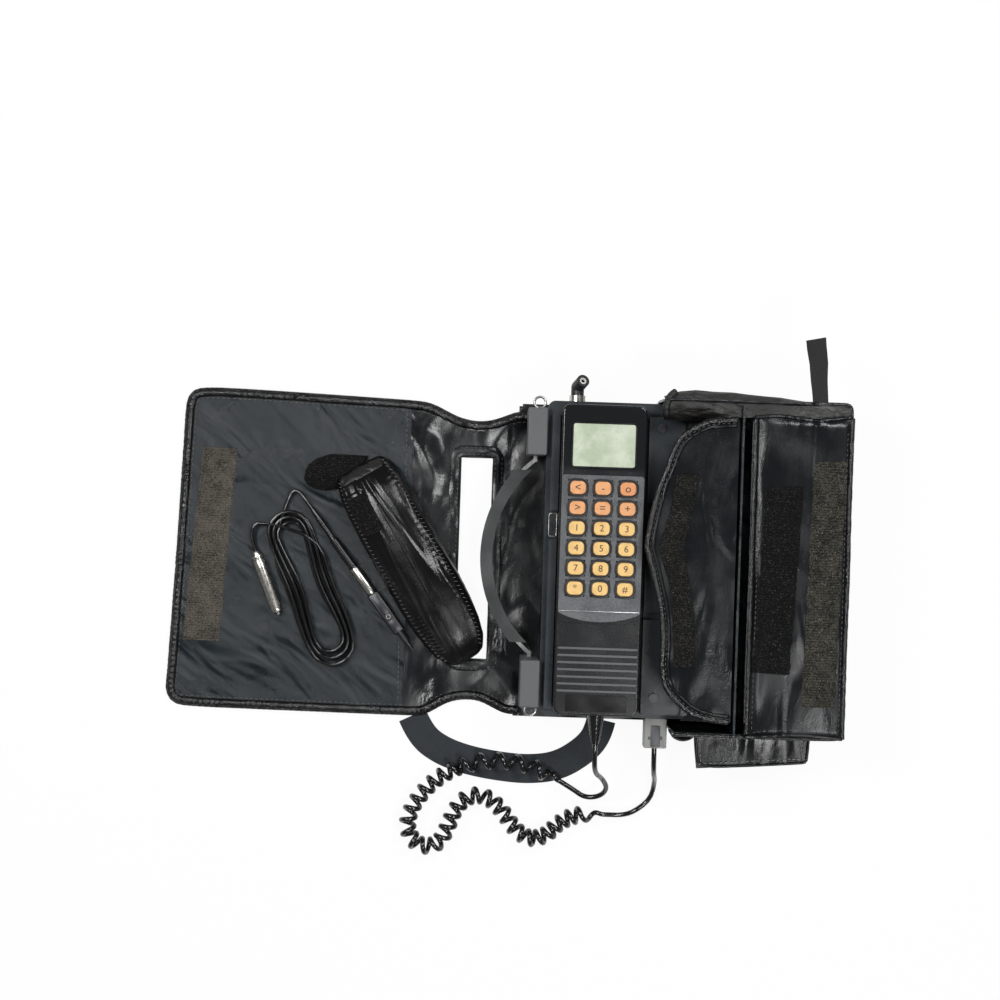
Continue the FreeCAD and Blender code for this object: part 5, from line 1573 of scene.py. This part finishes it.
pouch = add_piece("pouch_leatherette", pouch_form(), pouch_vinyl, "vinyl", ["pouch_body"], 180)
remesh = pouch.modifiers.new("even", "REMESH")
remesh.mode = "VOXEL"
remesh.voxel_size = 0.0035
finish_modifiers(pouch)


def pouch_held(place):
    along, across = pouch_local(place * 1000)
    return place.z * 1000 < POUCH_FLOOR + 1.5 or abs(abs(across) - edge_at(along, SEAM_SHARE)) < 1.6


inflate(pouch, pouch_held)
smooth_step = pouch.modifiers.new("smooth", "SUBSURF")
smooth_step.levels = smooth_step.render_levels = 1
finish_modifiers(pouch)
for vert in pouch.data.vertices:
    along, across = pouch_local(vert.co * 1000)
    edge = edge_at(along, SEAM_SHARE)
    ridge = 0.9 * math.exp(-((abs(across) - edge) / 1.3) ** 2)
    pleat = 0.22 * math.sin(along * 1.55) * math.exp(-((abs(across) - edge) / 4) ** 2)
    soft = 0.8 * rumple(along, across * 2.2, 30, 61) + 0.15 * creases(along * 0.6, across * 2, 22, 62)
    if vert.co.z * 1000 > POUCH_FLOOR + 5:
        vert.co.z += (ridge + pleat + soft - 0.5) * MM
    vert.co.z = max(vert.co.z, 0.00345)
pouch.data.shade_smooth()
ride(pouch, "pouch")
print("pouch", len(pouch.data.polygons), "faces")

# %% [markdown]
# Threads and patches are laid on the pouch after it has taken its shape. Each point of a row is dropped
# on to the surface, so the rows follow every bulge.

# %% Pouch seams and patches
pouch_tree = BVHTree.FromPolygons(
    [v.co * 1000 for v in pouch.data.vertices], [p.vertices for p in pouch.data.polygons],
)


def drape(along, across, rise=0.0):
    """The point of the pouch's top at a place along and across it."""
    high = pouch_place(along, across, 60)
    hit = pouch_tree.ray_cast(high, Vector((0, 0, -1)))[0]
    return (hit or pouch_place(along, across, POUCH_FLOOR + 4)) + Vector((0, 0, rise))


whip = bmesh.new()
for side in (-1, 1):
    row = Track([drape(d, side * edge_at(d, 0.82), 0.15) for d in range(4, 147, 2)])
    join_bm(whip, stitch_bm(row, 3.0, 2.6, 0.42, 0.5, angle=math.radians(62), seed=5 + side))
put("pouch", "pouch_whip_stitches", whip, thread, "vinyl")
middle = Track([drape(d, -1.5 + 1.5 * math.sin(d / 40), 0.1) for d in range(30, 149, 3)])
seam_bm = ribbon_bm(middle, oval(0.8, 0.55, 8), step=2)
put("pouch", "pouch_centre_seam", seam_bm, pouch_vinyl, "vinyl", smooth=180)


def patch(name, place, finish, slot, columns=26, rows=26, thick=1.0, rise=0.55):
    """A patch laid on the pouch. place(u, v) gives (along, across)."""
    def at(u, v):
        along, across = place(u, v)
        edge = soft_step(min(u, 1 - u, v, 1 - v) * 9 + 0.3)
        point = drape(along, across, rise * edge - 0.2)
        return tuple(point)
    return put("pouch", name, sheet_bm(columns, rows, at, thick), finish, slot, smooth=60)


patch(
    "pouch_tape", lambda u, v: (between(17, 45, v) + 2 * u, between(-21.5, -3.5, u) - 1.5 * v),
    loop_black, "loop_tape",
)
patch(
    "pouch_mouth_binding", lambda u, v: (between(2.5, 9.5, u), between(-16.5, 15.5, v)), matt_vinyl,
    "vinyl", 8, 30,
)
patch(
    "pouch_mouth_lip", lambda u, v: (between(8, 17, u), between(-19, -5, v)), pouch_vinyl, "vinyl", 8, 12,
    rise=0.9,
)
rib_rows = bmesh.new()
for k in range(11):
    d = 107 + 2.9 * k
    line = Track([drape(d + 0.25 * j, -edge_at(d, 0.92) + j * 0.9, 0.1) for j in range(10)])
    join_bm(rib_rows, ribbon_bm(line, oval(0.7, 0.6, 8), step=1.5))
put("pouch", "pouch_ribbed_edge", rib_rows, pouch_vinyl, "vinyl", smooth=180)

cuff_low = [
    (0, (-250.0, 49.0)), (0.1, (-248.0, 46.0)), (0.3, (-243.5, 43.4)), (0.6, (-236, 42.2)),
    (1, (-221.5, 45.5)),
]
cuff_high = [
    (0, (-249.4, 56.0)), (0.1, (-247.6, 59.5)), (0.3, (-242.5, 63.8)), (0.6, (-233, 67.4)),
    (1, (-207.5, 67.0)),
]


def cuff_at(u, v):
    low = [stops([(t, p[i]) for t, p in cuff_low], u) for i in (0, 1)]
    high = [stops([(t, p[i]) for t, p in cuff_high], u) for i in (0, 1)]
    x, y = between(low[0], high[0], v), between(low[1], high[1], v)
    dome = math.sin(math.pi * v) ** 0.7 * (2.6 + 4.6 * soft_step(u * 1.3))
    return x, y, 4.9 + dome + 0.5 * rumple(x, y, 8, 63)


put("pouch", "pouch_open_cuff", sheet_bm(36, 30, cuff_at, 1.3), loop_black, "vinyl", ["pouch_cuff"], 60)
print("pouch seams ready")

# %% [markdown]
# The handset's small forms are hard parts. Each key stands in a black collar, the speaker end has ribs,
# and a lighter line closes the keypad. They are boxes and rings with softened edges, because a bump map
# would lose their edges from the side. Each key carries a digit, a star, a hash or another plain sign.

# %% Handset details
def block(bm, low, high, soft=0.3, segments=2):
    """A box between two corners with rounded edges, added to a mesh."""
    made = bmesh.ops.create_cube(bm, size=1)["verts"]
    for vert in made:
        vert.co = Vector([between(a, b, c + 0.5) for a, b, c in zip(low, high, vert.co)])
    edges = list({edge for vert in made for edge in vert.link_edges})
    bmesh.ops.bevel(
        bm, geom=edges, offset=soft, segments=segments, affect="EDGES", profile=0.5, material=-1,
    )


KEY_COLUMNS = (-68.0, -52.0, -36.0)
KEY_TOP_ROW, KEY_PITCH, KEY_CROWN = 49.6, 12.84, 65.78
collar_section = [(-0.85, -0.4), (0.85, -0.4), (0.8, 0.3), (0.0, 0.5), (-0.8, 0.3)]
collars = bmesh.new()
key_places = {}
for row, letter in enumerate("abcdef"):
    for column, x in enumerate(KEY_COLUMNS):
        y = KEY_TOP_ROW - KEY_PITCH * row
        key_places[letter + str(column + 1)] = (x, y)
        ring = rounded_track(x - 6.1, x + 6.1, y - 5.2, y + 5.2, 3.9, 64.45)
        join_bm(collars, ribbon_bm(ring, collar_section, step=1.3, closed=True))
put("handset", "key_collars", collars, key_well, "handset_plastic", smooth=60)

# The ribs are the handset's black plastic; they take the paler bracket plastic as a painted highlight along their
# ridges.
rib_bm = bmesh.new()
for k in range(7):
    y = -53.0 - 4.55 * k
    block(rib_bm, (-77.6, y - 0.85, 62.6), (-26.4, y + 0.85, 64.0), 0.45, 3)
put("handset", "handset_ribs_painted_highlight", rib_bm, bracket_plastic, "handset_plastic")

trim_bm = bmesh.new()
block(trim_bm, (-77.4, -29.4, 63.9), (-26.6, -28.9, 64.6), 0.2)
put("handset", "keypad_trim", trim_bm, steel, "keypad_metal")


def bow(x):
    return -29.9 - 5.9 * max(0.0, math.cos((x + 52) / 26 * math.pi / 2)) ** 0.7


def crescent_at(u, v):
    x = between(-77.6, -26.4, u)
    return x, between(-29.8, bow(x), v), 64.5


def under_bow_at(u, v):
    x = between(-78.3, -25.7, u)
    return x, between(bow(x), -36.5, v), 64.55


put("handset", "keypad_crescent", sheet_bm(24, 4, crescent_at, 0.4), keypad_metal, "keypad_metal")
put(
    "handset", "keypad_lower_shade", sheet_bm(36, 4, under_bow_at, 0.5), handset_plastic,
    "handset_plastic",
)

bezel_bm = ribbon_bm(
    rounded_track(-72.6, -31.4, 62.6, 91.4, 2.0, 63.35),
    [(-0.8, -0.3), (0.8, -0.3), (0.6, 0.35), (-0.4, 0.5)], step=1.5, closed=True,
)
put("handset", "lens_bezel", bezel_bm, badge_plastic, "handset_plastic")
clip_bm = bmesh.new()
block(clip_bm, (-14.0, -118.0, 39.6), (-8.0, -104.0, 40.9), 0.5)
block(clip_bm, (-15.6, -113.2, 39.6), (-6.4, -111.2, 40.6), 0.3)
put("bag", "cord_plug_clip", clip_bm, bracket_plastic, "plug_grey")
latch_bm = ribbon_bm(
    rounded_track(-85.2, -80.2, 17.5, 32.5, 1.2, 44.6), oval(0.5, 0.8, 8), step=1.0, closed=True,
)
put("bag", "rail_latch", latch_bm, nickel, "nickel", smooth=180)
mouth_way = Vector((0.3, 0.35, 0.85)).normalized()
mouth_place = Matrix.Translation(Vector((-69, 115.75, 36)) + mouth_way * 9.4) @ mouth_way.to_track_quat(
    "X", "Z").to_matrix().to_4x4()
mouth_profile = [(-0.6, 1.2), (-0.6, 2.3), (0.4, 2.3), (0.5, 2.1), (0.5, 1.4), (-0.6, 1.2)]
put("elbow", "elbow_mouth_ring", spun(mouth_profile, mouth_place, 24), pale_plastic, "nickel")
boot_bm = bmesh.new()
for k in range(6):
    y = -97.6 - 2.9 * k
    turn = Matrix.Translation((-51, y, 52)) @ Matrix.Rotation(math.pi / 2, 4, "X")
    size = between(5.9, 3.0, (y + 96) / -19)
    bmesh.ops.create_cone(
        boot_bm, cap_ends=True, segments=24, radius1=size, radius2=size - 0.3, depth=1.5, matrix=turn,
    )
put("handset", "boot_ribs", boot_bm, cord_rubber, "cord_rubber")
print("handset details", 6)

# %% Key legends
legend = Finish("legend_brown", (0.035, 0.018, 0.008), 0.6)
marks = dict(
    zip(("c1", "c2", "c3", "d1", "d2", "d3", "e1", "e2", "e3", "f1", "f2", "f3"), "123456789*0#"),
)
marks.update({"a1": "<", "a2": "-", "a3": "o", "b1": ">", "b2": "=", "b3": "+"})


def key_mark(key, text):
    """One plain sign standing a hair above the key's crown."""
    letters = bpy.data.curves.new("mark", "FONT")
    letters.body = text
    letters.size = 6.0 if text in "0123456789#*" else 7.0
    letters.align_x = letters.align_y = "CENTER"
    letters.extrude = 0.12
    item = bpy.data.objects.new("mark", letters)
    bpy.context.collection.objects.link(item)
    mesh = bpy.data.meshes.new_from_object(item)
    bpy.data.objects.remove(item)
    bm = bmesh.new()
    bm.from_mesh(mesh)
    x, y = key_places[key]
    bmesh.ops.translate(bm, verts=bm.verts, vec=(x, y, KEY_CROWN))
    bpy.data.meshes.remove(mesh)
    return put(
        "button_" + key, "mark_" + key, bm, legend, "key_cream" if key[0] in "cdef" else "key_orange",
        smooth=30,
    )


for key, text in marks.items():
    key_mark(key, text)
print("legends", len(marks))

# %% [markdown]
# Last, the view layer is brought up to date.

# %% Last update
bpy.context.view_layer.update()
